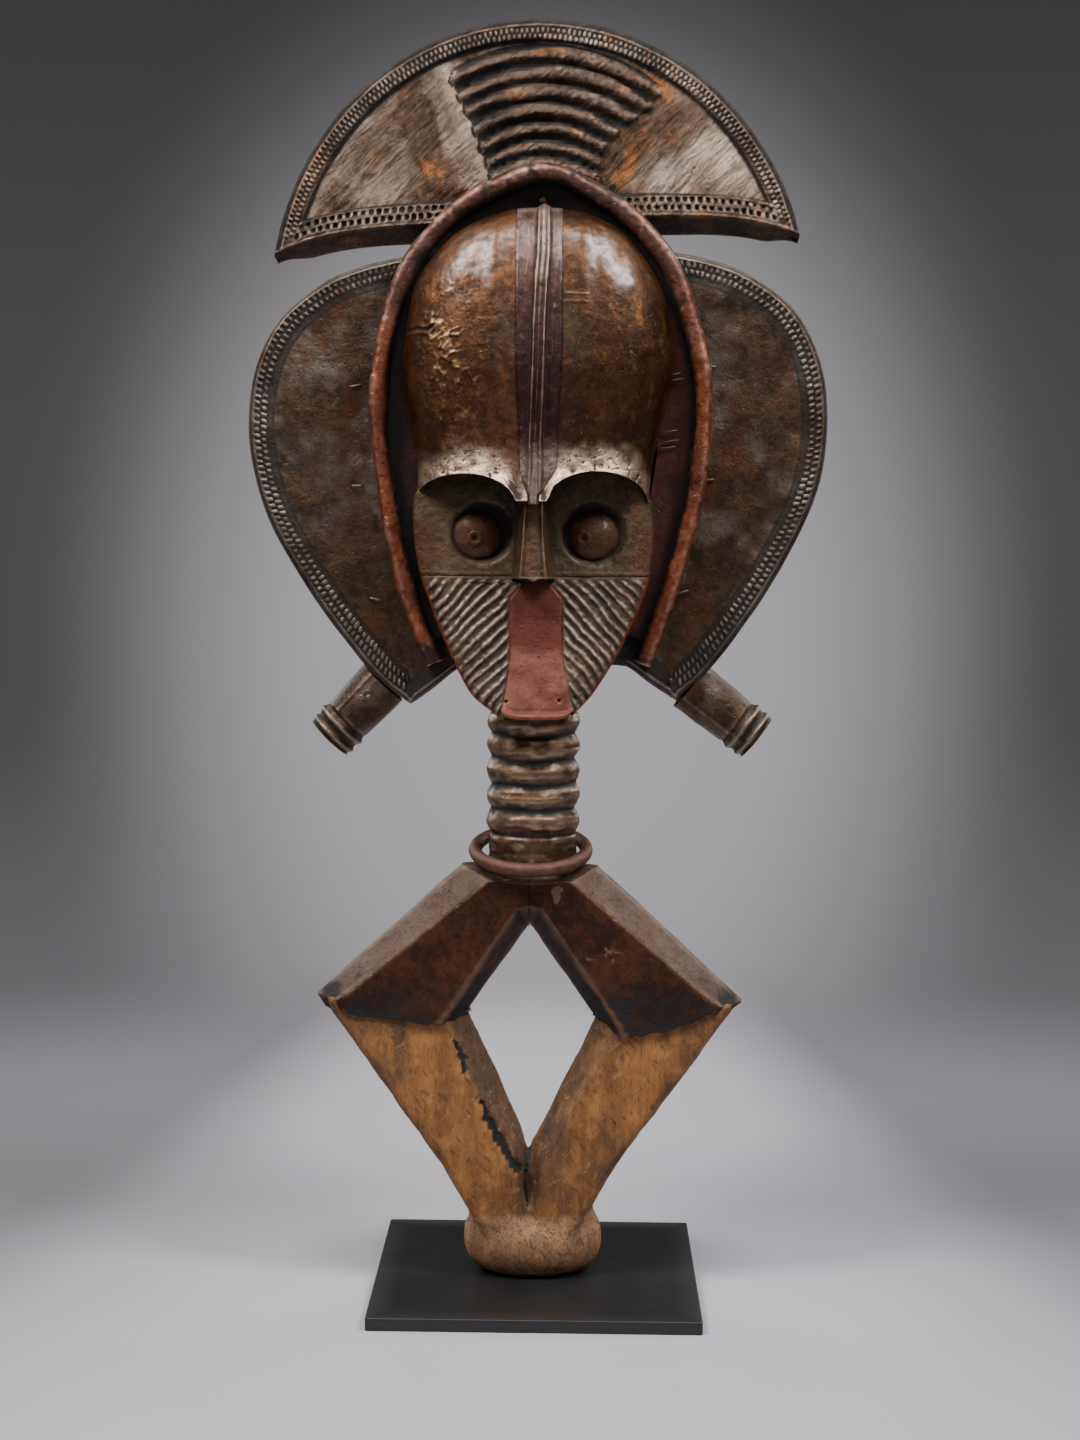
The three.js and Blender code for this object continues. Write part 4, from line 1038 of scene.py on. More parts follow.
class LobeFront:
    """A side lobe's front: lines from under the rim out to the edge, with two rows of beads beside it."""

    def __init__(self, side):
        sign = sign_of(side)
        line = np.vstack([smooth_line(LOBE_OUTLINE, 470), smooth_line(LOBE_HEM, 70)[1:]])
        edge = np.stack(tilted(sign * line[:, 0], line[:, 1]), axis=1)
        self.edge = edge + sign * side_of(edge) * BACKED
        self.outer_part = np.arange(len(edge)) < 466  # all but the hem below, towards the chin
        roots = self.roots(side)
        run = self.edge - roots
        self.length = np.linalg.norm(run, axis=1)
        self.run = run / self.length[:, None]
        slant = np.abs(np.sum(self.run * side_of(self.edge), axis=1))
        self.reach = self.spread(slant)
        x = roots[:, 0] + self.run[:, 0] * self.reach
        z = roots[:, 1] + self.run[:, 1] * self.reach
        self.distance = (self.length - self.reach) * slant
        self.border = self.beads()
        relief = 0.8 * self.border + 0.45 * mound(self.distance - 2.5, 0.9)
        self.places = space(x, -BOARD_FRONT - BACKED + front_corner(self.distance, 2) - relief, z)

    def roots(self, side):
        """Where the lines start under the rim, from near its top down to its end."""
        steps = 900
        rim = smooth_line(RIM_LINE, steps)
        places = np.linspace(278.38, 4, len(self.edge))
        places = places if side == "left" else steps - 1 - places
        return np.stack([np.interp(places, np.arange(steps), rim[:, k]) for k in (0, 1)], axis=1)

    def spread(self, slant):
        """How far along its line each row lies, close together beside the edge."""
        high = np.minimum(15.5 / np.maximum(slant, 0.35), 0.8 * self.length)
        low_rows = np.linspace(0, 1, 24)[:, None]
        top_rows = np.linspace(0, 1, 34)[1:, None]
        return np.vstack([(self.length - high) * low_rows, self.length - high + high * top_rows])

    def beads(self):
        """Two rows of beads, farther apart and from the edge on the lower part."""
        arc = lengths_along(self.edge)
        lower = step(150, 260, arc)
        beads = dashes(self.distance, arc, 3.1, [4.1 + 1.1 * lower, 7.4 + 1.7 * lower], 1.15 + 0.1 * lower)
        return beads * self.outer_part * step(0, 6, arc)

    def fold(self):
        """The fold over the edge onto the back."""
        rows = []
        for out, y in folded_edge(FOLD_ROWS) * (1, 0.92):
            x, z = (self.edge + self.run * out).T
            rows.append(space(x, y, z))
        return np.array(rows)

    def paleness(self):
        fade = step(14, 7, self.distance) + 0.35 * step(16, 4, self.reach)
        crust = step(9, 1, self.reach) * step(-0.1, 0.5, bumps(self.places, 3.2, 15))
        return 0.55 * fade + rough(self.places, (0.5, 18, 14), (0.35, 6, 16)) + 0.8 * crust

    def dirt_and_shade(self):
        # Dirt and painted shade: dark between the beads, along the outer edge where the sheet turns over, and
        # in a line inside the border.
        strip = step(13, 10, self.distance) * step(2, 3, self.distance)
        dirt_and_shade = 0.6 * (self.border < 0.2) * strip + step(2.0, 1.3, self.distance)
        return dirt_and_shade + 0.5 * mound(self.distance - 12, 1.3) * self.outer_part


def lobe_sheet(side, paint):
    """A side lobe's sheet from under the rim to its beaded edge, folded over onto the back."""
    front = LobeFront(side)
    parts = (front.places, front.fold())
    inside = (sign_of(side) * 95, 0, 110)
    flat = over(parts, 0.3 + 0.7 * step(2, 14, front.distance), 0.3)
    dents = [(1.0, 23, 11), (0.35, 9, 12), (0.1, 2.4, 13)]
    grid = hammered(np.concatenate(parts), inside, dents, share=flat)
    wear = over(parts, 1, 0.3)
    wear[len(front.places) - 3 :] = 0.3
    marks = {
        "tint": over(parts, front.paleness(), 0),
        "soil_and_shade": over(parts, front.dirt_and_shade(), hem_dirt_and_shade(grid[len(front.places) :])),
        "wear": wear,
    }
    name = "coiffure_sheet_" + side
    sheet(name, grid, inside, HEAD, "brown_copper", paint, reach=2, proud=0.4, **marks)


def closed_end(row, shares):
    """Rows that close a tube: its end shrunk towards its middle by each share."""
    middle = row.mean(axis=0)
    return np.array([middle + (row - middle) * share for share in shares])


def rim_dirt_and_shade(grid, turn):
    """Dirt on the rim in patches, painted shade on its inner side wall in the groove and towards both lower
    ends, and darker on the upper part's outside.
    """
    height = grid[..., 2]
    outwards = np.cos(turn)
    upper = step(120, 190, height)
    dirt_and_shade = (0.45 + 0.35 * upper) * step(0.05, 0.6, bumps(grid, 10, 27)) + 0.8 * step(-0.4, -0.85, outwards)
    dirt_and_shade = dirt_and_shade + 0.3 * upper * step(0.1, 0.8, outwards) + 0.35 * step(0.2, 0.7, bumps(grid, 3.6, 29))
    return dirt_and_shade + 0.7 * step(36, 22, height)


def rim_band(paint):
    """The copper cap over the raised rim, a little uneven in width and height."""
    line = smooth_line(RIM_LINE, 640)
    out = side_of(line)
    turn = np.linspace(0, math.pi, 27)
    here = space(line[:, 0], 0, line[:, 1])
    width = RIM_HALF + 0.35 * bumps(here, 15, 21) - 0.1
    height = RIM_FRONT + 0.45 * bumps(here, 21, 22)
    drift = 0.5 * bumps(here, 26, 23)
    c, s = np.cos(turn), np.sin(turn)
    share = np.sign(c) * np.abs(c) ** 0.72
    base = np.where(c > 0, 6.2, 9.7)  # on the lobes outside, and in the groove inside
    offset = width[:, None] * share + drift[:, None]
    depth = base + (height[:, None] - base) * s**0.52 + 0.5 * share * s
    grid = space(line[:, :1] + out[:, :1] * offset, -depth, line[:, 1:] + out[:, 1:] * offset)
    shares = (0.05, 0.55, 0.93)
    grid = np.concatenate([closed_end(grid[0], shares), grid, closed_end(grid[-1], shares)[::-1]])
    inside = (0, 0, 130)
    grid = hammered(grid, inside, [(0.8, 17, 24), (0.2, 6, 25), (0.1, 2.4, 28)])
    marks = {
        "tint": step(140, 215, grid[..., 2]) + 0.45 * bumps(grid, 17, 26),
        "soil_and_shade": rim_dirt_and_shade(grid, turn),
    }
    sheet("rim_band", grid, inside, HEAD, "red_copper", paint, reach=2, proud=0.3, wear=1.3, **marks)


def groove_lining(paint):
    """The dark floor of the groove between the rim and the face."""
    line = smooth_line(RIM_LINE, 420)[8:-8]
    inwards = -side_of(line)
    offset = np.linspace(2.5, 20, 16)
    grid = space(line[:, :1] + inwards[:, :1] * offset, -9.5, line[:, 1:] + inwards[:, 1:] * offset)
    inside = (0, 40, 130)
    grid = hammered(grid, inside, [(0.3, 14, 31), (0.15, 4, 32)])
    red = step(10, 60, grid[..., 0]) * step(215, 170, grid[..., 2]) * step(4.5, 9, offset)
    tint = (red + 0.3 * step(5, 12, offset)) * (0.75 + 0.9 * bumps(grid, 9, 33))
    sheet("groove_lining", grid, inside, HEAD, "dark_lining", paint, tint)


# Face


def face_level(rows, squareness, height):
    """Middle, half width, depth at the middle and at the edges of the face's outside at a height."""
    left, right, front, edge = read_rows(rows, height)
    return (left + right) / 2, (right - left) / 2 + BACKED, front + BACKED, edge + BACKED, squareness


def depth_at(level, x):
    """How far back the face lies at a place across it."""
    middle, half, front, edge, squareness = level
    across = np.clip(np.abs((x - middle) / half), 0, 1)
    return -edge - (front - edge) * (1 - across**squareness) ** (1 / squareness)


def across_at(level, turn):
    """The place across the face at a turn, from 0 at its right edge to pi at its left edge."""
    middle, half, squareness = level[0], level[1], level[4]
    c = np.cos(turn)
    return middle + half * np.sign(c) * np.abs(c) ** (2 / squareness)


def turn_at(level, x):
    """The turn at a place across the face."""
    middle, half, squareness = level[0], level[1], level[4]
    share = np.clip((x - middle) / half, -1, 1)
    return np.arccos(np.sign(share) * np.abs(share) ** (squareness / 2))


def brow_height(x):
    """The lower edge of the forehead over both eyes."""
    height = np.full(np.shape(x), 94.3)
    for middle, half, spring, rise in BROWS.values():
        lift = np.clip(1 - ((x - middle) / half) ** 2, 0, 1)
        height = np.maximum(height, spring - 0.3 + rise * np.sqrt(lift))
    return height


class ForeheadFront:
    """One half of the domed forehead, with its scar, its flared lower edge and its fine marks."""

    def __init__(self, side):
        self.z, self.x, self.level = self.spread(side, 220, 100)
        y = depth_at(self.level, self.x)
        self.above = self.z - brow_height(self.x)
        self.height = -y - 9.3  # above the groove's floor
        self.facing = step(0, 12, self.height)
        self.spot = space(self.x, 0, self.z)
        self.scar()
        spot = self.spot
        near_brow = self.above + rough(spot, (5, 9, 46), (2.5, 3, 38))
        self.pale = step(18, 3, near_brow) * self.facing
        self.cracks = mound(rough(spot, (1, 5.2, 37), (0.5, 2.1, 36)), 0.1) * self.pale
        from_band = np.abs(self.x - edges_at(BAND_EDGES, self.z, column_of(side)))
        welt = mound(from_band - 9, 8) * step(165, 190, self.z) * step(226, 214, self.z)
        flare = (1.9 * np.exp(-self.above / 6) + 0.6 * np.exp(-self.above / 1.4)) * self.facing
        ragged = step(9, 2, self.above) * bumps(spot, 3.4, 49) * self.facing
        relief = flare + self.crease - 1.8 * self.tear + 0.5 * self.worms + 0.6 * ragged
        relief = relief - 0.4 * self.cracks + 0.9 * welt
        if side == "right":
            relief = relief + self.seam()
        self.places = space(self.x, y - relief * self.facing, self.z)

    def spread(self, side, rows, columns):
        """Rows from the brow to the top, and columns from the rim to the band."""
        t = np.linspace(0, 1, rows)[:, None] * np.ones(columns)
        q = np.linspace(0, 1, columns)
        z = FOREHEAD_BASE + (FOREHEAD_TOP - FOREHEAD_BASE) * t
        for _ in range(6):
            level = face_level(FOREHEAD, FOREHEAD_SQUARENESS, z)
            band = edges_at(BAND_EDGES, z, column_of(side)) + 0.25 * sign_of(side)
            x = across_at(level, edge_turn(side) + (turn_at(level, band) - edge_turn(side)) * q)
            low = brow_height(x)
            z = low + (FOREHEAD_TOP - low) * t**1.08
        return z, x, face_level(FOREHEAD, FOREHEAD_SQUARENESS, z)

    def scar(self):
        """A gaping tear beside the left edge, with flaked lacquer below it."""
        x, z, spot = self.x, self.z, self.spot
        wander = 1.6 * bumps(spot, 5, 39)
        self.crease = mound(distance_to_segment(x, z + wander, (-61, 171), (-44, 174)), 2.8)
        self.tear = mound(distance_to_segment(x, z + wander, (-64, 170.5), (-47, 173.5)), 1.2)
        around = np.hypot(x + 39, (z - 160) * 0.5)
        self.scarred = step(25, 7, around) * step(-0.7, 0.2, bumps(spot, 8, 48))
        self.worms = mound(rough(spot, (1, 3.6, 41), (0.4, 1.7, 47)), 0.2) * self.scarred
        self.flecks = step(0.0, 0.45, rough(spot, (1, 4.8, 40), (0.5, 1.9, 50))) * self.scarred

    def seam(self):
        """The right half's raised seam beside the brow, and two short strokes above."""
        x, z = self.x, self.z
        line = mound(distance_to_segment(x, z, (44, 101), (58, 126)) + 1.2 * bumps(self.spot, 7, 42), 1.1)
        strokes = (mound(z - 187.5, 0.8) + mound(z - 184, 0.8)) * step(11, 13, x) * step(24, 21, x)
        return 0.5 * line + 0.3 * strokes

    def under(self):
        """The lower edge turned in towards the eyes."""
        rows = []
        for share in np.linspace(1, 0.02, 14):
            row = self.places[0].copy()
            row[:, 1] += np.maximum(-22 - row[:, 1], 0) * share
            row[:, 2] += 0.9 * share - 0.45 * math.sin(share * math.pi)
            rows.append(row)
        return np.array(rows)


def forehead_sheet(side, paint):
    """One half of the domed forehead, with its lower edge turned under along the brow."""
    front = ForeheadFront(side)
    parts = (front.under(), front.places)
    inside = (0, 0, 150)
    dents = [(0.5, 15, 43), (0.2, 6, 44), (0.07, 2.4, 45)]
    grid = hammered(np.concatenate(parts), inside, dents)
    # Dark in the tear and cracks, with painted shade low on the sides where the forehead drops into the
    # groove and on the part turned under the brow.
    dirt_and_shade = front.tear + 0.45 * front.cracks + 0.5 * step(6, 0, front.height)
    marks = {
        "tint": over(parts, 0, front.pale * (0.65 + 0.5 * bumps(front.spot, 5, 35))),
        "soil_and_shade": over(parts, 0.7, dirt_and_shade),
        "wear": over(parts, 0.3, 0.3 + 0.7 * np.maximum(front.worms, front.pale * 0.5)),
    }
    piece = sheet("forehead_sheet_" + side, grid, inside, HEAD, "gold_brass", paint, proud=0.4, **marks)
    bright = 0.8 * front.flecks + 0.5 * front.crease * step(0.5, 0.1, front.tear)
    add_wear(piece, over(parts, 0, bright))


def band_relief(off, wander, z):
    """The band's step and its upright ridges, at a distance from the main ridge."""
    relief = 1.1 * step(4.2, 2.2, np.abs(off)) + 0.3
    relief = relief + 0.8 * mound(off + 2.3, 0.9) + 0.8 * mound(off - 2.5, 0.8) + 0.4 * mound(off, 0.7)
    for offset, height, start in ((-6.6, 0.2, 165), (6.4, 0.25, 120)):
        shown = step(start - 30, start + 10, z) * 0.8 + 0.2
        relief = relief + height * shown * mound(off - offset - 0.6 * wander, 0.9)
    return relief


def forehead_band(paint):
    """The narrow copper band up the middle, with a sharp main ridge and finer ones beside it."""
    rows, columns = 220, 64
    z = np.linspace(FOREHEAD_BASE, FOREHEAD_TOP - 1, rows)[:, None] * np.ones(columns)
    level = face_level(FOREHEAD, FOREHEAD_SQUARENESS, z)
    left = np.maximum(edges_at(BAND_EDGES, z, 0), level[0] - level[1] + 0.3)
    right = np.minimum(edges_at(BAND_EDGES, z, 1), level[0] + level[1] - 0.3)
    x = left + (right - left) * np.linspace(0, 1, columns)
    wander = 0.5 * bumps(space(0, 0, z), 17, 51)
    off = x - edges_at(BAND_RIDGE, z, 0) - wander
    border = np.minimum(x - left, right - x)
    relief = band_relief(off, wander, z) * step(0, 1.2, border) + 0.25
    point = 1.5 * step(216, 228, z) * mound(off, 4)  # the pinched point at the top
    front = space(x, depth_at(level, x) - relief - point, z + point)
    turned = [front[0] + np.array([0, 16 * k, 1.2 * k]) for k in (1, 0.6, 0.25)]
    inside = (0, 0, 150)
    grid = hammered(np.concatenate([turned, front]), inside, [(0.2, 9, 52), (0.12, 3, 53)])
    height = grid[..., 2]
    tint = 0.8 * step(185, 222, height) * (0.5 + 0.5 * bumps(grid, 6, 54)) + step(126, 106, height)
    sheet("forehead_band", grid, inside, HEAD, "red_copper", paint, tint, wear=0.9, proud=0.3)


def distances_in_eye(side, x, z):
    """Distances from an eye's hollow and its pupil, and from its ball as a share of the ball's radius."""
    hollow, _, ball, radius, pupil = EYES[side]
    distances = [np.hypot(x - place[0], z - place[1]) for place in (hollow, pupil, ball)]
    distances[2] = distances[2] / radius
    return distances


def socket_depth(side, x, z, y):
    """The round hollow of an eye with its domed eyeball and ringed pupil."""
    middle, socket = EYES[side][:2]
    distance, pupil, ball = distances_in_eye(side, x, z)
    wall = step(socket + 2.2, socket - 2.6, distance)
    hollow = step(-15, 8, z - middle[1] - 0.6 * sign_of(side) * (x - middle[0]))
    y = y + (-EYE_FLOOR - y) * wall * (0.5 + 0.5 * hollow)
    dome = -EYE_FLOOR - (EYEBALL_RISE - 2) * np.clip(1.02 - ball * ball, 0, 1) ** 0.75
    y = np.where(ball < 1, np.minimum(y, dome), y)
    return y - 0.55 * mound(pupil - 2.7, 1.1) + 0.9 * mound(pupil, 1.5)


def face_walls(front):
    """Columns that carry a sheet from the groove's floor up to the face's edge."""
    x, y, z = front[:, :1].transpose(2, 0, 1)
    shares = np.linspace(0, 1, WALL_COLUMNS, endpoint=False)
    return space(x, -9.6 + (y + 9.6) * shares, z)


def eye_places(side, rows, columns):
    """Rows from the seam to the brow, and columns from the face's edge to the nose."""
    share = np.linspace(0, 1, columns)
    t = np.linspace(0, 1, rows)[:, None] * np.ones(columns)
    low = SEAM_HEIGHT + 0.2
    z = low + 45 * t
    beside_nose = -9.0 if side == "left" else 6.8
    for _ in range(4):
        level = face_level(LOWER_FACE, FACE_SQUARENESS, z)
        inner_turn = turn_at(level, beside_nose)
        x = across_at(level, edge_turn(side) + (inner_turn - edge_turn(side)) * share)
        top = brow_height(x) + 1.5
        z = low + (top - low) * t
    y = socket_depth(side, x, z, depth_at(face_level(LOWER_FACE, FACE_SQUARENESS, z), x))
    return space(x, y - 0.2 * mound(z - low - 1, 1.2), z), top


def eye_sheet(side, paint):
    """The hollow zone between brow and seam on one side, with the eye."""
    sign = sign_of(side)
    front, top = eye_places(side, 104, 104)
    parts = (face_walls(front), front)
    inside = (sign * 20, 20, 80)
    grid = hammered(np.concatenate(parts, axis=1), inside, [(0.3, 11, 61), (0.2, 4, 62), (0.09, 2, 63)])
    x, z = front[..., 0], front[..., 2]
    distance, pupil, ball = distances_in_eye(side, x, z)
    middle = EYES[side][0]
    nearest_nose = step(-8, 9, z - middle[1] - 0.7 * sign * (x - middle[0]))
    red = 0.85 * step(1.0, 0.8, ball) + 0.8 * step(0, 9, sign * (x - sign * 40)) * step(92, 80, z)
    # Painted shade in the socket on the side towards the nose and brow, a little under the brow, and dark in
    # and around the pupil.
    dirt_and_shade = 0.75 * nearest_nose * step(18.5, 12.5, distance) * step(0.5, 1.0, ball)
    dirt_and_shade = dirt_and_shade + 0.1 * step(6, 0.5, top - z) + 0.7 * mound(pupil, 1.3) + 0.3 * mound(pupil - 4.1, 0.9)
    marks = {"tint": over(parts, 0.4, red, axis=1), "soil_and_shade": over(parts, 0, dirt_and_shade, axis=1)}
    sheet("eye_sheet_" + side, grid, inside, HEAD, "gold_brass", paint, proud=0.4, wear=0.15, **marks)


def nose_places():
    """The nose's rows from the top down, each from its left root over the front to its right root."""
    z = np.linspace(98.5, 60.6, 90)
    left, right, front = read_rows(NOSE, z)
    left = left - BACKED
    right = right + BACKED
    outline = [
        (left - NOSE_FLARE, -20),
        (left - NOSE_FLARE, 9 - front),
        (left + 1.4, 2 - front - BACKED),
        (left + 2.3, -front - BACKED),
        (right - 2.3, -front - BACKED),
        (right - 1.4, 2 - front - BACKED),
        (right + NOSE_FLARE, 9 - front),
        (right + NOSE_FLARE, -20),
    ]
    corners = [space(x, y, z) for x, y in outline]
    columns = [corners[0][:, None]]
    for start, end, count in zip(corners[:-1], corners[1:], [14, 12, 5, 22, 5, 12, 14]):
        share = np.linspace(0, 1, count + 1)[1:]
        columns.append(start[:, None] + (end - start)[:, None] * share[:, None])
    grid = np.concatenate(columns, axis=1)
    left, right, front = (edge[:, None] for edge in (left, right, front))
    ridge = mound(grid[..., 0] - left - 2.5, 1.3) + mound(grid[..., 0] - right + 2.5, 1.3)
    grid[..., 1] -= 0.6 * ridge * (grid[..., 1] < 1 - front)
    notch = mound(grid[..., 0] + 0.9, 3) * (grid[..., 1] < -front)
    grid[-1, :, 2] -= 1.2 * notch[-1]
    grid[-2, :, 2] -= 0.8 * notch[-2]
    return grid


def nose_sheet(paint):
    """The narrow box nose with bright upright edges and a crumpled top."""
    grid = nose_places()
    cap = []
    for k in (0.3, 0.6, 1):
        row = grid[-1].copy()
        row[:, 1] += (-30 - np.minimum(row[:, 1], -30)) * k
        row[:, 0] += (-1.1 - row[:, 0]) * 0.15 * k
        cap.append(row)
    grid = np.concatenate([grid, np.array(cap)])
    crumple = step(86, 97, grid[..., 2])
    inside = (-1, -20, 78)
    grid = hammered(grid, inside, [(0.25, 7, 71), (0.12, 2.4, 72)])
    grid[..., 1] += crumple * 0.9 * bumps(grid, 3.2, 73)
    tint = 0.45 * (grid[..., 1] < -37)
    wear = 0.75 + 0.35 * step(84, 95, grid[..., 2])
    sheet("nose_sheet", grid, inside, HEAD, "gold_brass", paint, tint, wear=wear)


def cheek_inner_edge(side, level, z):
    """Where a cheek ends: beside the nose at the top, and beside the mouth plate below."""
    sign = sign_of(side)
    beside_nose = -10.6 if side == "left" else 8.6
    inner = np.where(z > 58.6, beside_nose, edges_at(MOUTH_EDGES, z, column_of(side)) + sign * 0.2)
    limit = level[0] + sign * (level[1] - 0.8)
    return np.maximum(inner, limit) if side == "left" else np.minimum(inner, limit)


def cheek_sheet(side, paint):
    """A cheek with slanting ribs, and a bright copper fold along the face's outline."""
    rows, columns = 134, 96
    sign = sign_of(side)
    z = np.linspace(CHIN_UNDERSIDE, SEAM_HEIGHT - 0.2, rows)[:, None] * np.ones(columns)
    level = face_level(LOWER_FACE, FACE_SQUARENESS, z)
    inner = cheek_inner_edge(side, level, z)
    turn = edge_turn(side) + (turn_at(level, inner) - edge_turn(side)) * np.linspace(0, 1, columns)
    x = across_at(level, turn)
    y = depth_at(level, x)
    spot = space(x, 0, z)
    slant = sign * x * math.sin(RIB_ANGLE) + (z - 30) * math.cos(RIB_ANGLE)
    across = slant + rough(spot, (1.1, 13, 81), (0.45, 5, 82))
    beat = np.abs(np.cos(math.pi * across / RIB_PITCH))
    from_edge = np.abs(x - level[0] - sign * level[1])
    ends = step(SEAM_HEIGHT - 0.8, SEAM_HEIGHT - 3.2, z) * step(0.2, 1.8, np.abs(x - inner))
    ends = ends * step(0.2, 1.4, from_edge)
    relief = (0.85 * beat**4 + rough(spot, (0.35, 4, 83), (0.4, 1.7, 80)) * beat) * ends
    relief = relief + 0.15 * mound(z - SEAM_HEIGHT + 0.8, 1)
    parts = (face_walls(space(x, y, z)), space(x, y - relief, z))
    inside = (sign * 14, 20, 40)
    grid = hammered(np.concatenate(parts, axis=1), inside, [(0.35, 12, 84), (0.12, 4, 85)])
    wall_red = 0.8 * step(9, 13, np.arange(WALL_COLUMNS))
    tint = over(parts, wall_red, 0.9 * step(2.6, 0.6, from_edge), axis=1)
    # Painted shade on the walls down into the groove and faintly between the ribs.
    soil_and_shade = over(parts, 0.35, 0.15 * (1 - beat) * ends, axis=1)
    sheet("cheek_sheet_" + side, grid, inside, HEAD, "brown_copper", paint, tint, soil_and_shade, proud=0.5)


def mouth_sheet(paint):
    """The red plate from under the nose to a curled lip, turned under the chin."""
    rows, columns = 150, 72
    z = np.linspace(60, CHIN_UNDERSIDE + 0.2, rows)[:, None] * np.ones(columns)
    level = face_level(LOWER_FACE, FACE_SQUARENESS, z)
    left = np.maximum(edges_at(MOUTH_EDGES, z, 0), level[0] - level[1] + 0.5)
    right = np.minimum(edges_at(MOUTH_EDGES, z, 1), level[0] + level[1] - 0.5)
    x = left + (right - left) * np.linspace(0, 1, columns)
    holes = mound(np.hypot(x + 12.8, z - 5), 1.1) + mound(np.hypot(x - 11.2, z - 5.8), 1.3)
    rounding = 2.2 * np.abs(np.linspace(-1, 1, columns)) ** 5 * step(7, -2, z)
    border = np.minimum(x - left, right - x)
    relief = 0.35 + 1.7 * mound(z + 1.2, 3.2) - 1.4 * holes - 0.5 * step(1.2, 0, border)
    front = space(x, depth_at(level, x) - relief, z + rounding)
    under = []
    for share in np.linspace(0, 1, 22)[1:]:
        row = front[-1].copy()
        row[:, 1] += (-9.8 - row[:, 1]) * share
        row[:, 2] += 0.9 * math.sin(share * math.pi) - 0.2
        under.append(row)
    parts = (front, np.array(under))
    inside = (0, 0, 30)
    grid = hammered(np.concatenate(parts), inside, [(0.45, 14, 91), (0.16, 5, 92), (0.05, 2, 93)])
    ragged = rough(front, (3, 7, 94), (1.5, 2.5, 96))
    # Paler lower part: its pale tone is partly a painted highlight where the plate slopes forward to the
    # chin.
    pale = step(31, 26, z + ragged) * (0.65 + 0.5 * bumps(front, 5, 95)) * step(-1, 3, z)
    # Dark in the holes, painted shadow under the nose at the top, and darker on the part turned under the
    # chin.
    soil_and_shade = over(parts, holes + 0.3 * step(50, 60, z), 0.5)
    sheet("mouth_sheet", grid, inside, HEAD, "red_copper", paint, over(parts, pale, 0), soil_and_shade)


# Pendants, neck and ring


def sleeve_profile(length):
    """Places along a pendant's sleeve and its radius there, over both rings and in at the end."""
    along = np.linspace(9, length + 0.5, 80)
    radius = np.interp(along, [0, length], [PENDANT_ROOT, PENDANT_END])
    for back in (7.6, 2.0):
        radius = radius + 1.25 * mound(along - length + back, 2.4)
    radius = radius - 0.5 * mound(along - length + 11, 1.2)
    inwards_radius = [PENDANT_END + 0.6, PENDANT_END - 0.3, 10.2, 9.9]
    inwards_along = [length + 0.8, length + 0.9, length + 0.3, length - 2]
    return np.concatenate([along, inwards_along]), np.concatenate([radius, inwards_radius])


def pendant_sleeve(side, paint):
    """A short tube with two raised rings at its end and a lapped seam along its front."""
    x, z, angle, length = PENDANTS[side]
    sign = sign_of(side)
    turns = np.linspace(0, 2 * math.pi, 120, endpoint=False)
    along, radius = sleeve_profile(length)
    from_seam = turns + math.radians(62)
    seam = step(-0.05, 0.02, np.sin(from_seam)) * step(0.0, 0.9, np.cos(from_seam))
    lap = 0.55 * seam * step(length + 1, length - 12, along)[:, None]
    tube = lathe_points(radius[:, None] + lap, along[:, None], turns)
    wobble = bumps(tube, 13, 101 + sign)
    tube[..., :2] *= (1 + 0.02 * wobble)[..., None]
    axis = Vector((sign * math.cos(angle), 0, -math.sin(angle)))
    turn = Vector((0, 0, 1)).rotation_difference(axis).to_matrix()
    root = np.array([x, PENDANT_BACK, z])
    inside = root + np.array(axis) * length * 0.5
    dents = [(0.22, 6, 104), (0.08, 2.5, 105)]
    grid = hammered(tube @ np.array(turn).T + root, inside, dents, wrap=True)
    tint = 0.7 * np.clip(bumps(grid + (0, 0, HEAD), 9, 106) + 0.1, 0, 1)
    sheet("pendant_sleeve_" + side, grid, inside, HEAD, "brown_copper", paint, tint, wrap=True)


def neck_sleeve(paint):
    """The ribbed neck, thickly lacquered, with a dark collar at the top."""
    turns = np.linspace(0, 2 * math.pi, 140, endpoint=False)
    z = np.linspace(NECK_FLOOR, NECK_TOP - 0.2, 150)[:, None] * np.ones(len(turns))
    spot = lathe_points(21 + 0 * z, z, turns)
    shift = 1.1 * bumps(spot, 17, 111)
    ribs = np.zeros_like(z)
    for middle in NECK_RIDGES:
        ribs = np.maximum(ribs, mound(z - middle - shift, 6.1) ** 0.62)
    ribbed = step(209, 213, z)
    plain = 20.5 + 0.8 * step(204, 190, z)
    radius = plain * (1 - ribbed) + ribbed * (NECK_VALLEY + (NECK_BULGE - NECK_VALLEY + 0.2) * ribs)
    lines = bumps(spot * (0.12, 0.12, 1), 1.7, 115)
    radius = radius + 0.45 * bumps(spot, 9, 112) + 0.35 * lines - 0.6 * mound(z - 210.6, 1.4)
    tube = lathe_points(radius, z, turns) + np.array([NECK_X, 0, 0])
    top = np.array([tube[-1] * (k, k, 1) + np.array([NECK_X * (1 - k), 0, 0.1]) for k in (0.97, 0.9)])
    inside = (NECK_X, 0, 230)
    parts = (tube, top)
    grid = hammered(np.concatenate(parts), inside, [(0.35, 6, 113), (0.14, 2.2, 114)], wrap=True)
    red = 0.85 * step(259, 266, z) + 0.6 * step(214, 206, z) + 1.1 * (1 - ribs) * ribbed
    red = red + 0.6 * step(0.1, 0.6, bumps(spot, 7, 116))
    soil_and_shade = over(parts, 0.55 * (1 - ribs) ** 2 * ribbed, 0)
    options = {"wrap": True, "reach": 4, "proud": 0.5}
    sheet("neck_sleeve", grid, inside, FIGURE, "gold_brass", paint, over(parts, red, 0), soil_and_shade, **options)


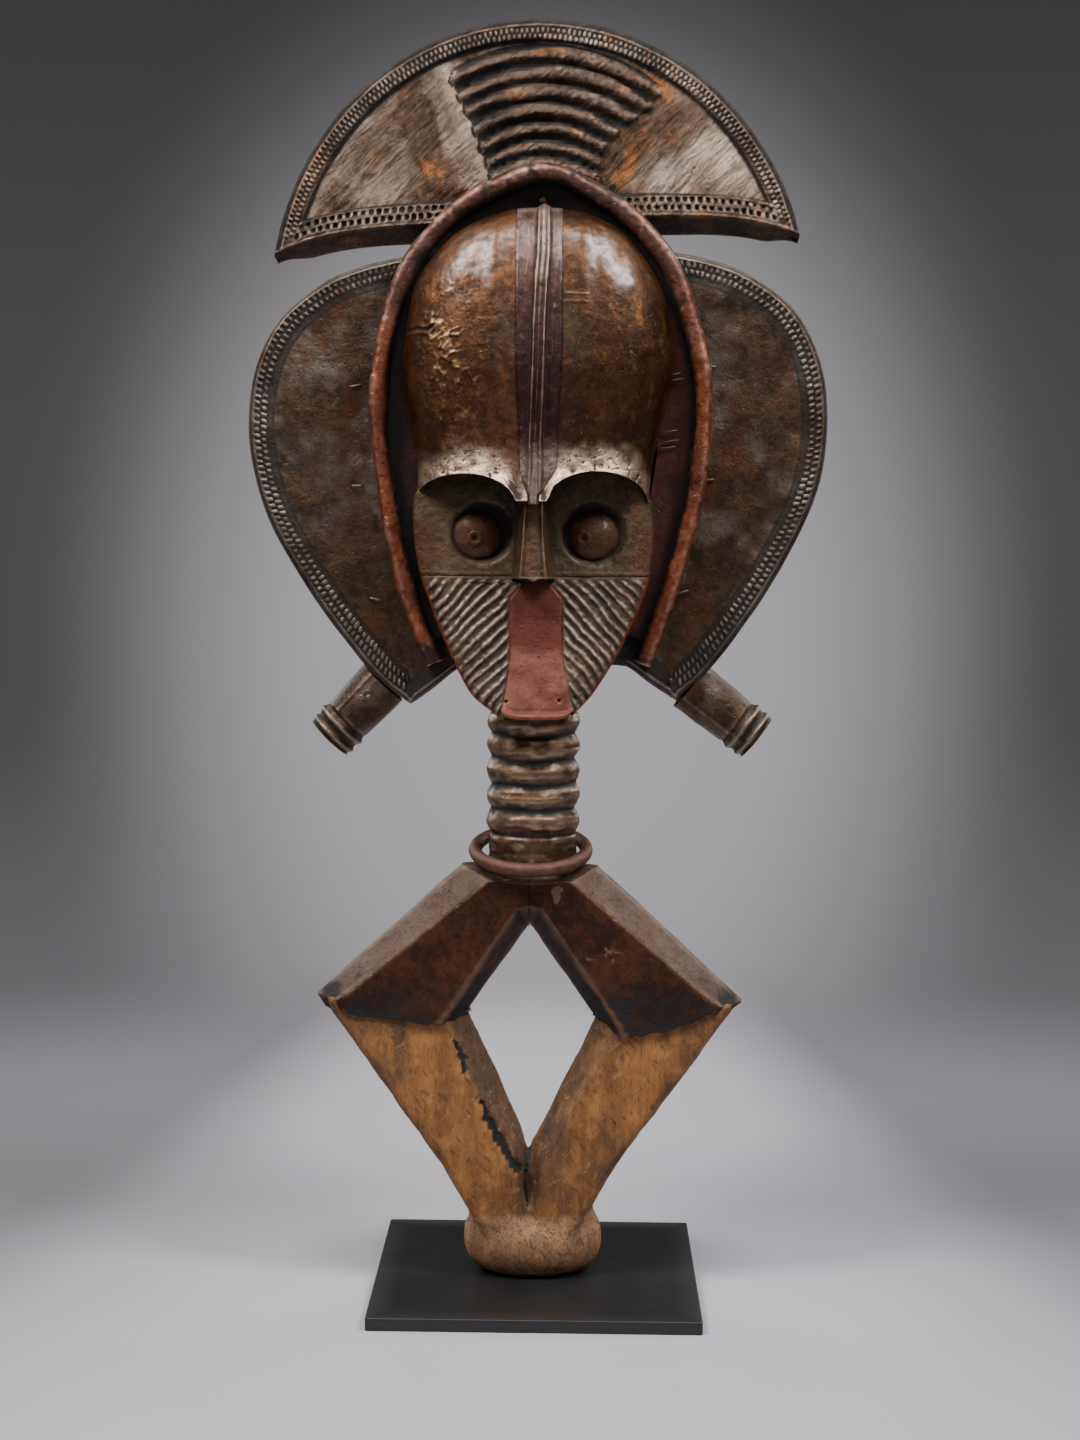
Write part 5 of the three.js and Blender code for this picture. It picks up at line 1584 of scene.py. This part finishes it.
def neck_ring(paint):
    """A hand-made copper ring that hangs askew around the foot of the neck."""
    around = np.linspace(0, 2 * math.pi, 220)[:, None]
    turns = np.linspace(0, 2 * math.pi, 26, endpoint=False)
    way = space(np.cos(around) * 26, np.sin(around) * 26, 0)
    section = RING_SECTION - 0.15 + 0.16 * bumps(way, 14, 121)
    radius = RING_RADIUS + 0.25 * bumps(way, 30, 122) + section * np.cos(turns)
    x = radius * np.cos(around)
    y = radius * np.sin(around)
    z = section * np.sin(turns)
    c, s = math.cos(RING_TILT), math.sin(RING_TILT)
    middle = np.array([RING_X, 0, RING_HEIGHT + FIGURE])
    grid = space(x, y * c - z * s, y * s + z * c) + middle
    grid = grid + 0.1 * bumps(grid, 3, 123)[..., None] * (grid - middle) / 26
    sheet("neck_ring", grid, middle, 0, "red_copper", paint, wrap=True, proud=0.6)


# Arms


def limb_section(outer, ridge, bevel, inner):
    """The eight corners of a limb's sheet at one station, from four places on its front."""
    front = -LIMB_FRONT - BACKED
    back = LIMB_BACK + BACKED
    thin = EDGE_HALF + BACKED / 2
    outwards = np.array(outer, float) - np.array(inner, float)
    outwards = outwards / np.linalg.norm(outwards) * BACKED
    shares = (1, 0.4, -0.4, -1)
    spots = [np.array(place) + outwards * share for place, share in zip((outer, ridge, bevel, inner), shares)]
    fronts = [(x, y, z) for (x, z), y in zip(spots, (-thin, front, front, -thin))]
    backs = [(x, y, z) for (x, z), y in zip(spots, (thin, back, back, thin))]
    return np.array(fronts + backs[::-1])


def arm_stations(side):
    """The four places of a limb's front at each station, from the neck to the hem."""
    sign = sign_of(side)
    x, z, inner_x, inner_z = ELBOWS[side]
    middle, fork = ARM_FORK
    top = SHOULDER_HEIGHT
    start = middle - sign * 2
    shoulder = middle + sign * SHOULDER_HALF
    outer = [(start, top + 3), (shoulder, top), (x, z), (x - sign * 4, z - 5.5)]
    ridge = [(start, top - 3), (middle + sign * 19, top - 5), (x - sign * 10.5, z), (x - sign * 12, z - 6)]
    bevel = [
        (start, fork + 12),
        (middle + sign * 6, fork + 10),
        (inner_x + sign * 10, inner_z - 2),
        (inner_x + sign * 12, inner_z - 5),
    ]
    inner = [(start, fork + 2), (middle + sign * 2, fork), (inner_x, inner_z), (inner_x - sign, inner_z - 2)]
    return list(zip(outer, ridge, bevel, inner))


class ArmSkin:
    """The grid of points of an arm's sheet, with the marks of its bevels, hem and stains."""

    def __init__(self, side):
        self.side = side
        self.elbow = limb_section(*arm_stations(side)[2])[0]
        runs = [np.linspace(0, 1, 34), np.linspace(1, 2, 104)[1:], np.linspace(2, 3, 12)[1:]]
        self.stops = np.concatenate(runs)
        grid = self.smoothed(self.between_stations())
        grid[..., 2] += self.hem_rise(grid)
        sign = sign_of(side)
        self.inside = (sign * 50, 0, 160)
        grid = hammered(grid, self.inside, [(0.5, 20, 133), (0.22, 7, 134), (0.06, 2.4, 135)], wrap=True)
        limit = ARM_FORK[0] + sign * 0.15
        clear = np.maximum if side == "right" else np.minimum
        grid[..., 0] = clear(grid[..., 0], limit)
        closing = grid[-1:]
        middle = closing.mean(axis=1, keepdims=True)
        self.grid = np.concatenate([grid, middle + (closing - middle) * 0.94])
        self.front = self.grid[..., 1] < 0
        columns = np.arange(self.grid.shape[1])
        self.bevel = (columns < 21) | (columns > len(columns) - 9)
        self.inner_bevel = (columns > 73) & (columns < 102)
        self.from_elbow = self.reach(self.elbow[0], 1, self.elbow[2], 1)

    def reach(self, x, half_x, z, half_z):
        """Distance from a place, as a share of a width and a height."""
        return np.hypot((self.grid[..., 0] - x) / half_x, (self.grid[..., 2] - z) / half_z)

    def between_stations(self):
        """Rings of points at each stop, between the rings of the four stations."""
        counts = [22, 52, 20, 7, 16, 30, 16, 7]
        rings = []
        for station in arm_stations(self.side):
            ring = limb_section(*station)
            points = []
            for start, end, count in zip(ring, np.roll(ring, -1, axis=0), counts):
                share = np.linspace(0, 1, count, endpoint=False)[:, None]
                points.append(start + (end - start) * share)
            rings.append(np.concatenate(points))
        rings = np.array(rings)
        lower = np.minimum(self.stops.astype(int), 2)
        share = (self.stops - lower)[:, None, None]
        return rings[lower] * (1 - share) + rings[lower + 1] * share

    def smoothed(self, grid):
        """The grid with its corners softened around the limb."""
        for _ in range(2):
            grid = 0.5 * grid + 0.25 * (np.roll(grid, 1, axis=1) + np.roll(grid, -1, axis=1))
        return grid

    def hem_rise(self, grid):
        """The torn hem, which hangs lower on the inner part of the right arm."""
        rise = rough(grid[-1:], (1.6, 6, 131), (0.8, 2.2, 132))
        if self.side == "right":
            inner_part = step(88, 52, grid[..., 0]) * step(30, 44, grid[..., 0])
            rise = rise + 2.5 - 5.5 * inner_part
        return step(2, 3, self.stops)[:, None] * rise

    def tint(self):
        """Red on the outer bevel, less of it on the inner one."""
        tint = 0.95 * self.bevel * (0.75 + 0.4 * bumps(self.grid, 9, 136))
        return tint + 0.5 * self.inner_bevel * step(140, 176, self.grid[..., 2])

    def soil_and_shade(self):
        """Dirt at the neck, the elbow and the hem, on the inner bevel and in blots on the right arm."""
        grid, z = self.grid, self.grid[..., 2]
        soil_and_shade = 0.4 * self.inner_bevel + 0.7 * step(2.2, 3, np.append(self.stops, 3))[:, None]
        soil_and_shade = soil_and_shade + 0.35 * step(188, 197, z) * ~self.bevel
        soil_and_shade = soil_and_shade + 0.8 * step(14, 7, self.from_elbow + 3 * bumps(grid, 4, 137))
        if self.side == "right":
            from_inner = self.reach(31, 20, 128, 13) + rough(grid, (0.45, 6, 138), (0.4, 2.4, 130))
            soil_and_shade = soil_and_shade + 0.7 * step(1.0, 0.5, from_inner) * self.front
        return soil_and_shade + 0.45 * step(153, 132, z) * self.front

    def bare_spots(self):
        """Bright specks and a chip on the right arm beside the neck."""
        lifted = self.grid + (0, 0, FIGURE)
        specks = step(0.3, 0.55, rough(lifted, (1, 1.7, 139), (0.3, 5, 140)))
        specks = specks * step(1, 0.7, self.reach(33, 11, 162 - FIGURE, 6))
        ragged = rough(lifted, (0.6, 2.6, 129), (0.3, 1.3, 128))
        chip = step(1.0, 0.75, self.reach(11, 2.8, 190 - FIGURE, 5) + ragged)
        return (specks + chip) * self.front


def shoulder_sheet(side, paint):
    """An arm's sheet: a broad outer bevel, a flat front and a dark inner bevel, with a torn hem."""
    skin = ArmSkin(side)
    marks = {"tint": skin.tint(), "soil_and_shade": skin.soil_and_shade(), "wear": 0.8 * (1 - step(17, 9, skin.from_elbow))}
    options = {"wrap": True, "reach": 5, "proud": 0.7}
    name = "shoulder_sheet_" + side
    piece = sheet(name, skin.grid, skin.inside, FIGURE, "brown_copper", paint, **marks, **options)
    if side == "right":
        add_wear(piece, skin.bare_spots())


# Wood and plate


def softened_wood():
    """An even mesh of the wood with its edges softened."""
    obj = bpy.data.objects.new("carving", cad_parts["wood_figure"].data.copy())
    bpy.context.scene.collection.objects.link(obj)
    remesh = obj.modifiers.new("even", "REMESH")
    remesh.mode = "VOXEL"
    remesh.voxel_size = 2.05 * MM
    soften = obj.modifiers.new("soften", "SMOOTH")
    soften.iterations = 3
    graph = bpy.context.evaluated_depsgraph_get()
    mesh = bpy.data.meshes.new_from_object(obj.evaluated_get(graph))
    bpy.data.objects.remove(obj)
    return mesh


def read_vectors(mesh, name):
    """The places or normals of a mesh's points."""
    values = np.zeros(len(mesh.vertices) * 3)
    mesh.vertices.foreach_get(name, values)
    return values.reshape(-1, 3)


class Carving:
    """The wood's points, moved by tool marks, a gouge, a crack and a slimmer crest, with their marks."""

    def __init__(self, mesh):
        self.start = read_vectors(mesh, "co") / MM
        self.normals = read_vectors(mesh, "normal")
        self.x, self.y, self.z = self.start.T
        self.bare = step(FIGURE + 134, FIGURE + 122, self.z)
        self.uneven = rough(self.start * (1, 1, 0.5), (0.9, 4.5, 145)) + 0.45 * bumps(self.start, 1.9, 146)
        self.from_slot = self.x + 2.2  # from the middle of the crack between the legs
        self.cuts()
        self.points = self.start + self.normals * self.relief()[:, None]
        self.points[:, 2] = np.maximum(self.points[:, 2], FIGURE)
        self.open_fork()
        self.slim_crest()

    def cuts(self):
        """The long gouge down the left leg and the crack between both legs."""
        x, y, z = self.x, self.y, self.z
        wobble = rough(self.start * (0, 0, 1), (1.6, 8, 147), (0.9, 3, 148))
        self.gouge_x = np.interp(z, [57, 78, 106, 125], [-6.5, -18.5, -31.5, -37.5]) + wobble
        heights = [56, 60, 84, 92, 102, 108, 116, 122, 127]
        halves = [0.4, 2.4, 2.6, 0.6, 0.4, 1.4, 1.5, 0.6, 0.3]
        wide = np.interp(z, heights, halves)
        wide = wide + 1.4 * bumps(self.start, 3.2, 149) - 1.1 * np.abs(bumps(self.start, 1.7, 125))
        across = step(wide + 0.5, wide - 0.5, np.abs(x - self.gouge_x))
        self.gouge = across * step(128, 125, z) * step(54, 57, z) * (y < -2)
        bent = self.from_slot - 0.6 * np.sin(z / 3)
        self.crack = mound(bent, 0.9) * step(68, 62, z) * step(36, 44, z) * (y < 2)

    def relief(self):
        """How far each point moves along its normal."""
        points = self.start
        chisel = np.abs(bumps(points * (1, 1, 0.45), 11, 141)) - 0.3
        grain = bumps(points * (1, 1, 0.12), 2.6, 142)
        lumps = bumps(points, 22, 143)
        bands = 0.3 * mound(self.z - FIGURE - 24.5, 1.2)
        bare = 0.45 * chisel + 0.28 * grain + 0.3 * lumps + 0.25 * self.uneven
        bare = bare - 1.6 * self.gouge - 1.6 * self.crack - bands
        covered = (0.8 * chisel + 0.2 * grain) * (self.y > 3) - 0.55
        return self.bare * bare + (1 - self.bare) * covered

    def open_fork(self):
        """A small hollow where the legs part."""
        fork = mound(self.from_slot, 3.4) * step(56, 63, self.z) * step(84, 72, self.z)
        self.points[:, 2] -= 5.5 * fork * step(-0.2, 0.3, self.normals[:, 2])

    def slim_crest(self):
        """The crest's lower edge drawn in towards its tips, clear of the folded sheet."""
        c, s = math.cos(CREST_TILT), math.sin(CREST_TILT)
        height = self.z - HEAD - CREST_CENTRE
        u = self.x * c + height * s
        w = height * c - self.x * s
        from_tip = CREST_REACH - np.abs(u)
        slim = step(18, 1, from_tip) * (w > 12) * (np.abs(u) < CREST_HALF_WIDTH + 5)
        lowest = slim * step(5, 0, w - crest_edge(u))
        self.points[:, 2] += lowest * (1.4 + 5 * np.clip((self.y + 4.5) / 13.5, 0, 1))
        self.points[:, 1] -= slim * np.maximum(self.y - 4, 0) * 0.85
        self.points[:, 0] -= np.sign(self.x) * 1.3 * step(5, 0, from_tip) * (w > 12)

    def deep(self):
        """Where the wood lies in the dark: in its cuts and behind the face."""
        slot = 0.75 * mound(self.from_slot, 2.6) * step(50, 58, self.z) * step(74, 66, self.z)
        deep = np.maximum(np.clip(self.gouge + self.crack, 0, 1), slot)
        return np.maximum(deep, step(HEAD - 4, HEAD, self.z) * (self.y < 0))

    def tone(self):
        """Where the wood is stained, darker along the gouge and towards the top of the bare wood, with
        painted shade in the crotch between the legs and on the sides that face inwards; and where the foot is
        pale and speckled, darker towards its bottom.
        """
        x, y, z, bare = self.x, self.y, self.z, self.bare
        blotch = bumps(self.points * (1, 1, 0.4), 17, 144) + 0.6 * bumps(self.points * (1, 1, 0.6), 6, 127)
        stain_and_shade = 0.75 * step(0.15, 0.9, blotch)
        # Painted shade in the crotch where the legs part.
        stain_and_shade = stain_and_shade + 0.6 * step(6, 2, np.abs(self.from_slot)) * step(76, 62, z) * (z > 34)
        stain_and_shade = stain_and_shade + 0.5 * step(FIGURE + 112, FIGURE + 128, z + 5 * blotch)
        strip = step(0, 3, x - self.gouge_x) * (x < -2) + 0.7 * step(1, -3, x + 4 + self.gouge_x) * (x > -2)
        stain_and_shade = stain_and_shade + 0.5 * strip * (y < 0) * (z > 50)
        # Painted shade on the sides of the bare wood that face inwards.
        shaded_inward_sides = step(0.25, 0.5, -self.normals[:, 0] * np.sign(x + 2)) * (np.abs(x + 2) > 3)
        stain_and_shade = stain_and_shade + 0.45 * shaded_inward_sides * (z > 40)
        stain_and_shade = stain_and_shade * bare + 0.35 * (1 - bare)
        foot = self.foot()
        speckle = foot * step(-0.1, 0.5, self.uneven) * 0.8 + 0.6 * step(FIGURE + 15, FIGURE + 2, z)
        return np.clip(stain_and_shade * (1 - 0.7 * foot) + speckle, 0, 1)

    def worn(self):
        """Where the wood is pale: its sideways-facing sides, rubbed and partly painted light, its foot, and a
        painted highlight along the foot's ledge.
        """
        # The sides facing sideways are painted pale, partly as painted light; the inward ones are darkened
        # again by painted shade in tone().
        edge = step(0.55, 0.2, np.abs(self.normals[:, 1])) * self.bare * (self.y < 0)
        ledge_highlight = mound(self.z - 35, 2.6) * step(-0.6, 0.2, bumps(self.points, 6, 126)) * (self.y < 0)
        return np.clip(0.3 * edge + 0.75 * self.foot() + 0.6 * ledge_highlight, 0, 1)

    def foot(self):
        return step(40, 30, self.z)


def wood_figure(paint):
    """The carved wood, softened, with tool marks, gouges, a crack and a worn foot."""
    mesh = softened_wood()
    carving = Carving(mesh)
    mesh.vertices.foreach_set("co", (carving.points * MM).ravel())
    mesh.shade_smooth()
    mesh.name = "wood_figure"
    add_mark(mesh, "deep", carving.deep())
    add_mark(mesh, "tone", carving.tone())
    add_mark(mesh, "worn", carving.worn())
    place(bpy.data.objects.new("wood_figure_carved", mesh), ["wood_figure"], "carved_wood", paint)


def base_plate(paint):
    """The square plate with its edges just broken."""
    width, depth, thick = PLATE
    steps = 8
    radius, broken = 1.2, 0.5
    outline = []
    for quarter, (toward_x, toward_y) in enumerate([(1, 1), (-1, 1), (-1, -1), (1, -1)]):
        for angle in math.pi / 2 * (quarter + np.linspace(0, 1, steps)):
            x = toward_x * (width / 2 - radius) + radius * math.cos(angle)
            y = toward_y * (depth / 2 - radius) + radius * math.sin(angle)
            outline.append((x, y))
    outline = np.array(outline)
    heights = [0, 0.3 * broken, broken, thick - broken, thick - 0.3 * broken, thick, thick, thick]
    insets = [broken, 0.3 * broken, 0, 0, 0.3 * broken, broken, 12, 40]
    rings = []
    for z, inset in zip(heights, insets):
        scale = 1 - inset / np.array([width / 2, depth / 2])
        rings.append(np.column_stack([outline * scale, np.full(len(outline), z)]))
    rings.append(rings[-1] * (0.001, 0.001, 1))
    rings.insert(0, rings[0] * (0.001, 0.001, 1))
    grid = np.array(rings) + np.array([PLATE_SHIFT, 0, 0])
    inside = (PLATE_SHIFT, 0, 3)
    plate = sheet("base_plate", grid, inside, 0, "black_plate", paint, wrap=True, reach=1)
    worn = np.zeros(grid.shape[:2])
    # Paler sides and top edge: rubbed, and partly a painted highlight along the edge.
    worn[3:7] = 0.6
    add_mark(plate.data, "worn", worn)


# Small fastenings


def tube_faces(start, rows, sides):
    """Faces between rows of points that each go once around."""
    faces = []
    for row in range(rows):
        for k in range(sides):
            a = start + row * sides + k
            b = start + row * sides + (k + 1) % sides
            faces.append((a, b, b + sides, a + sides))
    return faces


def stud(points, faces, centre, radius, rise, hollow=0.0):
    """Adds one domed nail head, facing the viewer, to a mesh's lists."""
    rings, sides = 5, 12
    faces += tube_faces(len(points), rings, sides)
    for ring in range(rings + 1):
        lean = math.pi / 2 * ring / rings
        out = radius * math.cos(lean)
        y = centre[1] - rise * math.sin(lean) + hollow * max(0, ring - 2)
        for turn in 2 * math.pi * np.arange(sides) / sides:
            points.append((centre[0] + out * math.cos(turn), y, centre[2] + out * math.sin(turn)))


def wire(points, faces, line, radius):
    """Adds one bent wire along a line of points to a mesh's lists."""
    sides = 8
    path = [Vector(place) for place in line]
    last = len(path) - 1
    faces += tube_faces(len(points), last, sides)
    for i, spot in enumerate(path):
        along = (path[min(i + 1, last)] - path[max(i - 1, 0)]).normalized()
        across = along.cross(Vector((0, 1, 0))).normalized()
        other = along.cross(across)
        size = radius * (0.25 if i in (0, last) else 1)
        for turn in 2 * math.pi * np.arange(sides) / sides:
            points.append(tuple(spot + (across * math.cos(turn) + other * math.sin(turn)) * size))


def fastening(name, points, faces, paint):
    """A piece of small copper parts that stands for no node of its own."""
    mesh = bpy.data.meshes.new(name)
    mesh.from_pydata([tuple(c * MM for c in place) for place in points], [], faces)
    mesh.shade_smooth()
    add_mark(mesh, "worn", np.full(len(points), 0.6))
    place(bpy.data.objects.new(name, mesh), [], "brown_copper", paint)


def staples(paint):
    """Wire staples that hold the lobes' sheets beside the rim."""
    points, faces = [], []
    for x, z, slant in STAPLES:
        angle = math.radians(slant)
        line = []
        for share in np.linspace(-1, 1, 9):
            reach = 3.1 * share
            lift = 1.5 * (1 - share**4)
            line.append((x + reach * math.cos(angle), -5.6 - lift, z + reach * math.sin(angle)))
        wire(points, faces, line, 0.65)
    fastening("lobe_staples", points, faces, paint)


def stitches(paint):
    """Pairs of thin wire stitches across the groove's lining."""
    points, faces = [], []
    for x, z in STITCHES:
        line = []
        for along in np.linspace(0, 8, 8):
            lift = 0.9 * (1 - ((along - 4) / 4.2) ** 4)
            line.append((x + along, -9.9 - lift, z + 0.15 * along))
        wire(points, faces, line, 0.4)
    fastening("groove_stitches", points, faces, paint)


def nails(paint):
    """The nail over the forehead, a hollow one on the left lobe and a small one on each lobe."""
    points, faces = [], []
    stud(points, faces, (1.6, -10.2, HEAD + 232.5), 2.2, 1.6)
    stud(points, faces, (-78.5, -6.2, HEAD + 5.5), 2.2, 1.3, 0.5)
    for x, height in ((-62, 14), (63, 13)):
        stud(points, faces, (x, -6.4, HEAD + height), 1.0, 0.8)
    fastening("small_nails", points, faces, paint)


# Scene


def area_light(name, place_at, size, power, colour=(1, 1, 1)):
    """A soft light that faces the figure."""
    light = bpy.data.lights.new(name, "AREA")
    light.shape = "RECTANGLE"
    light.size, light.size_y = size
    light.energy = power
    light.color = colour
    obj = bpy.data.objects.new(name, light)
    obj.location = place_at
    direction = Vector(LIT_PLACE) - Vector(place_at)
    obj.rotation_euler = direction.to_track_quat("-Z", "Y").to_euler()
    bpy.context.scene.collection.objects.link(obj)


def surround():
    """A grey backdrop with a broad painted pool of light low behind the figure, and painted shade darkening
    it towards the top.
    """
    world = bpy.data.worlds.new("surround")
    paint = Paint(world)
    way = paint.node("TexCoord", {}, {}, "Generated")
    aside = (paint.part(way, "X") + 0.010) / 0.245
    up = paint.part(way, "Z")
    lift = (up + 0.05) / 0.33
    # The glow is a painted pool of light on the backdrop; the darker colour higher up is painted shade.
    glow = (1 - (aside * aside + lift * lift)).rise(0.0, 1.0)
    glow = glow * (glow * 0.7 + 0.3)
    colour = paint.blend(up.rise(0.0, 0.3), (0.074, 0.072, 0.077), (0.048, 0.046, 0.048))
    colour = paint.blend(up.rise(-0.06, -0.24), colour, (0.15, 0.145, 0.155))
    colour = paint.blend(glow, colour, (0.45, 0.435, 0.46))
    background = paint.node("Background", {}, {"Color": colour, "Strength": 1.0})
    paint.node("OutputWorld", {}, {"Surface": background})
    bpy.context.scene.world = world


def studio():
    """A pale floor with painted shade towards its far corners, a grey surround with a painted pool of light,
    and soft lights from both sides and above.
    """
    mesh = bpy.data.meshes.new("floor")
    reach = FLOOR_REACH
    corners = [(-reach, -reach, 0), (reach, -reach, 0), (reach, reach, 0), (-reach, reach, 0)]
    mesh.from_pydata(corners, [], [(0, 1, 2, 3)])
    floor = bpy.data.objects.new("floor", mesh)
    mesh.materials.append(plain_floor())
    bpy.context.scene.collection.objects.link(floor)
    surround()
    area_light("left_window", (-0.76, -0.48, 1.50), (0.34, 0.56), 22.5, (1, 0.99, 0.97))
    area_light("right_window", (0.80, -0.46, 1.48), (0.32, 0.50), 21, (0.97, 0.98, 1))
    area_light("overhead", (0.0, -0.45, 1.6), (0.3, 0.4), 7)
    area_light("front_fill", (0.0, -2.1, 1.2), (1.2, 0.5), 3)
    area_light("back_left", (-0.8, 0.9, 0.8), (0.4, 0.8), 5)
    area_light("back_right", (0.8, 0.9, 0.8), (0.4, 0.8), 5)


def camera():
    """The photograph's viewpoint, worked out from the base plate."""
    yaw, pitch, roll = CAMERA_TURNS
    level = Vector((math.sin(yaw), math.cos(yaw), 0))
    upright = Vector((0, 0, 1))
    forward = level * math.cos(pitch) - upright * math.sin(pitch)
    up = level * math.sin(pitch) + upright * math.cos(pitch)
    right = forward.cross(up)
    turned_right = right * math.cos(roll) + up * math.sin(roll)
    turned_up = up * math.cos(roll) - right * math.sin(roll)
    data = bpy.data.cameras.new("view")
    data.sensor_fit = "VERTICAL"
    data.sensor_height = 24
    data.lens = data.sensor_height * FOCAL_LENGTH
    obj = bpy.data.objects.new("view", data)
    turn = Matrix((turned_right, turned_up, -forward)).transposed().to_4x4()
    obj.matrix_world = Matrix.Translation(CAMERA_PLACE) @ turn
    bpy.context.scene.collection.objects.link(obj)
    bpy.context.scene.camera = obj


camera()
studio()

brown = brown_copper()
left_gold = lacquered_brass("left_brass", (0.072, 0.024, 0.006), (0.150, 0.058, 0.018))
right_gold = lacquered_brass("right_brass", (0.050, 0.017, 0.003), (0.098, 0.035, 0.006))
olive = olive_brass()
red = red_copper()
ribbed = rib_copper()
arms = arm_copper()

wood_figure(carved_wood())
base_plate(black_plate())
crest_sheet(crest_copper())
rim_band(red)
groove_lining(dark_lining())
forehead_band(band_copper())
nose_sheet(olive)
mouth_sheet(mouth_copper())
neck_sleeve(neck_brass())
neck_ring(ring_copper())
for side in ("left", "right"):
    lobe_sheet(side, brown)
    forehead_sheet(side, left_gold if side == "left" else right_gold)
    eye_sheet(side, olive)
    cheek_sheet(side, ribbed)
    pendant_sleeve(side, brown)
    shoulder_sheet(side, arms)
staples(brown)
stitches(brown)
nails(brown)
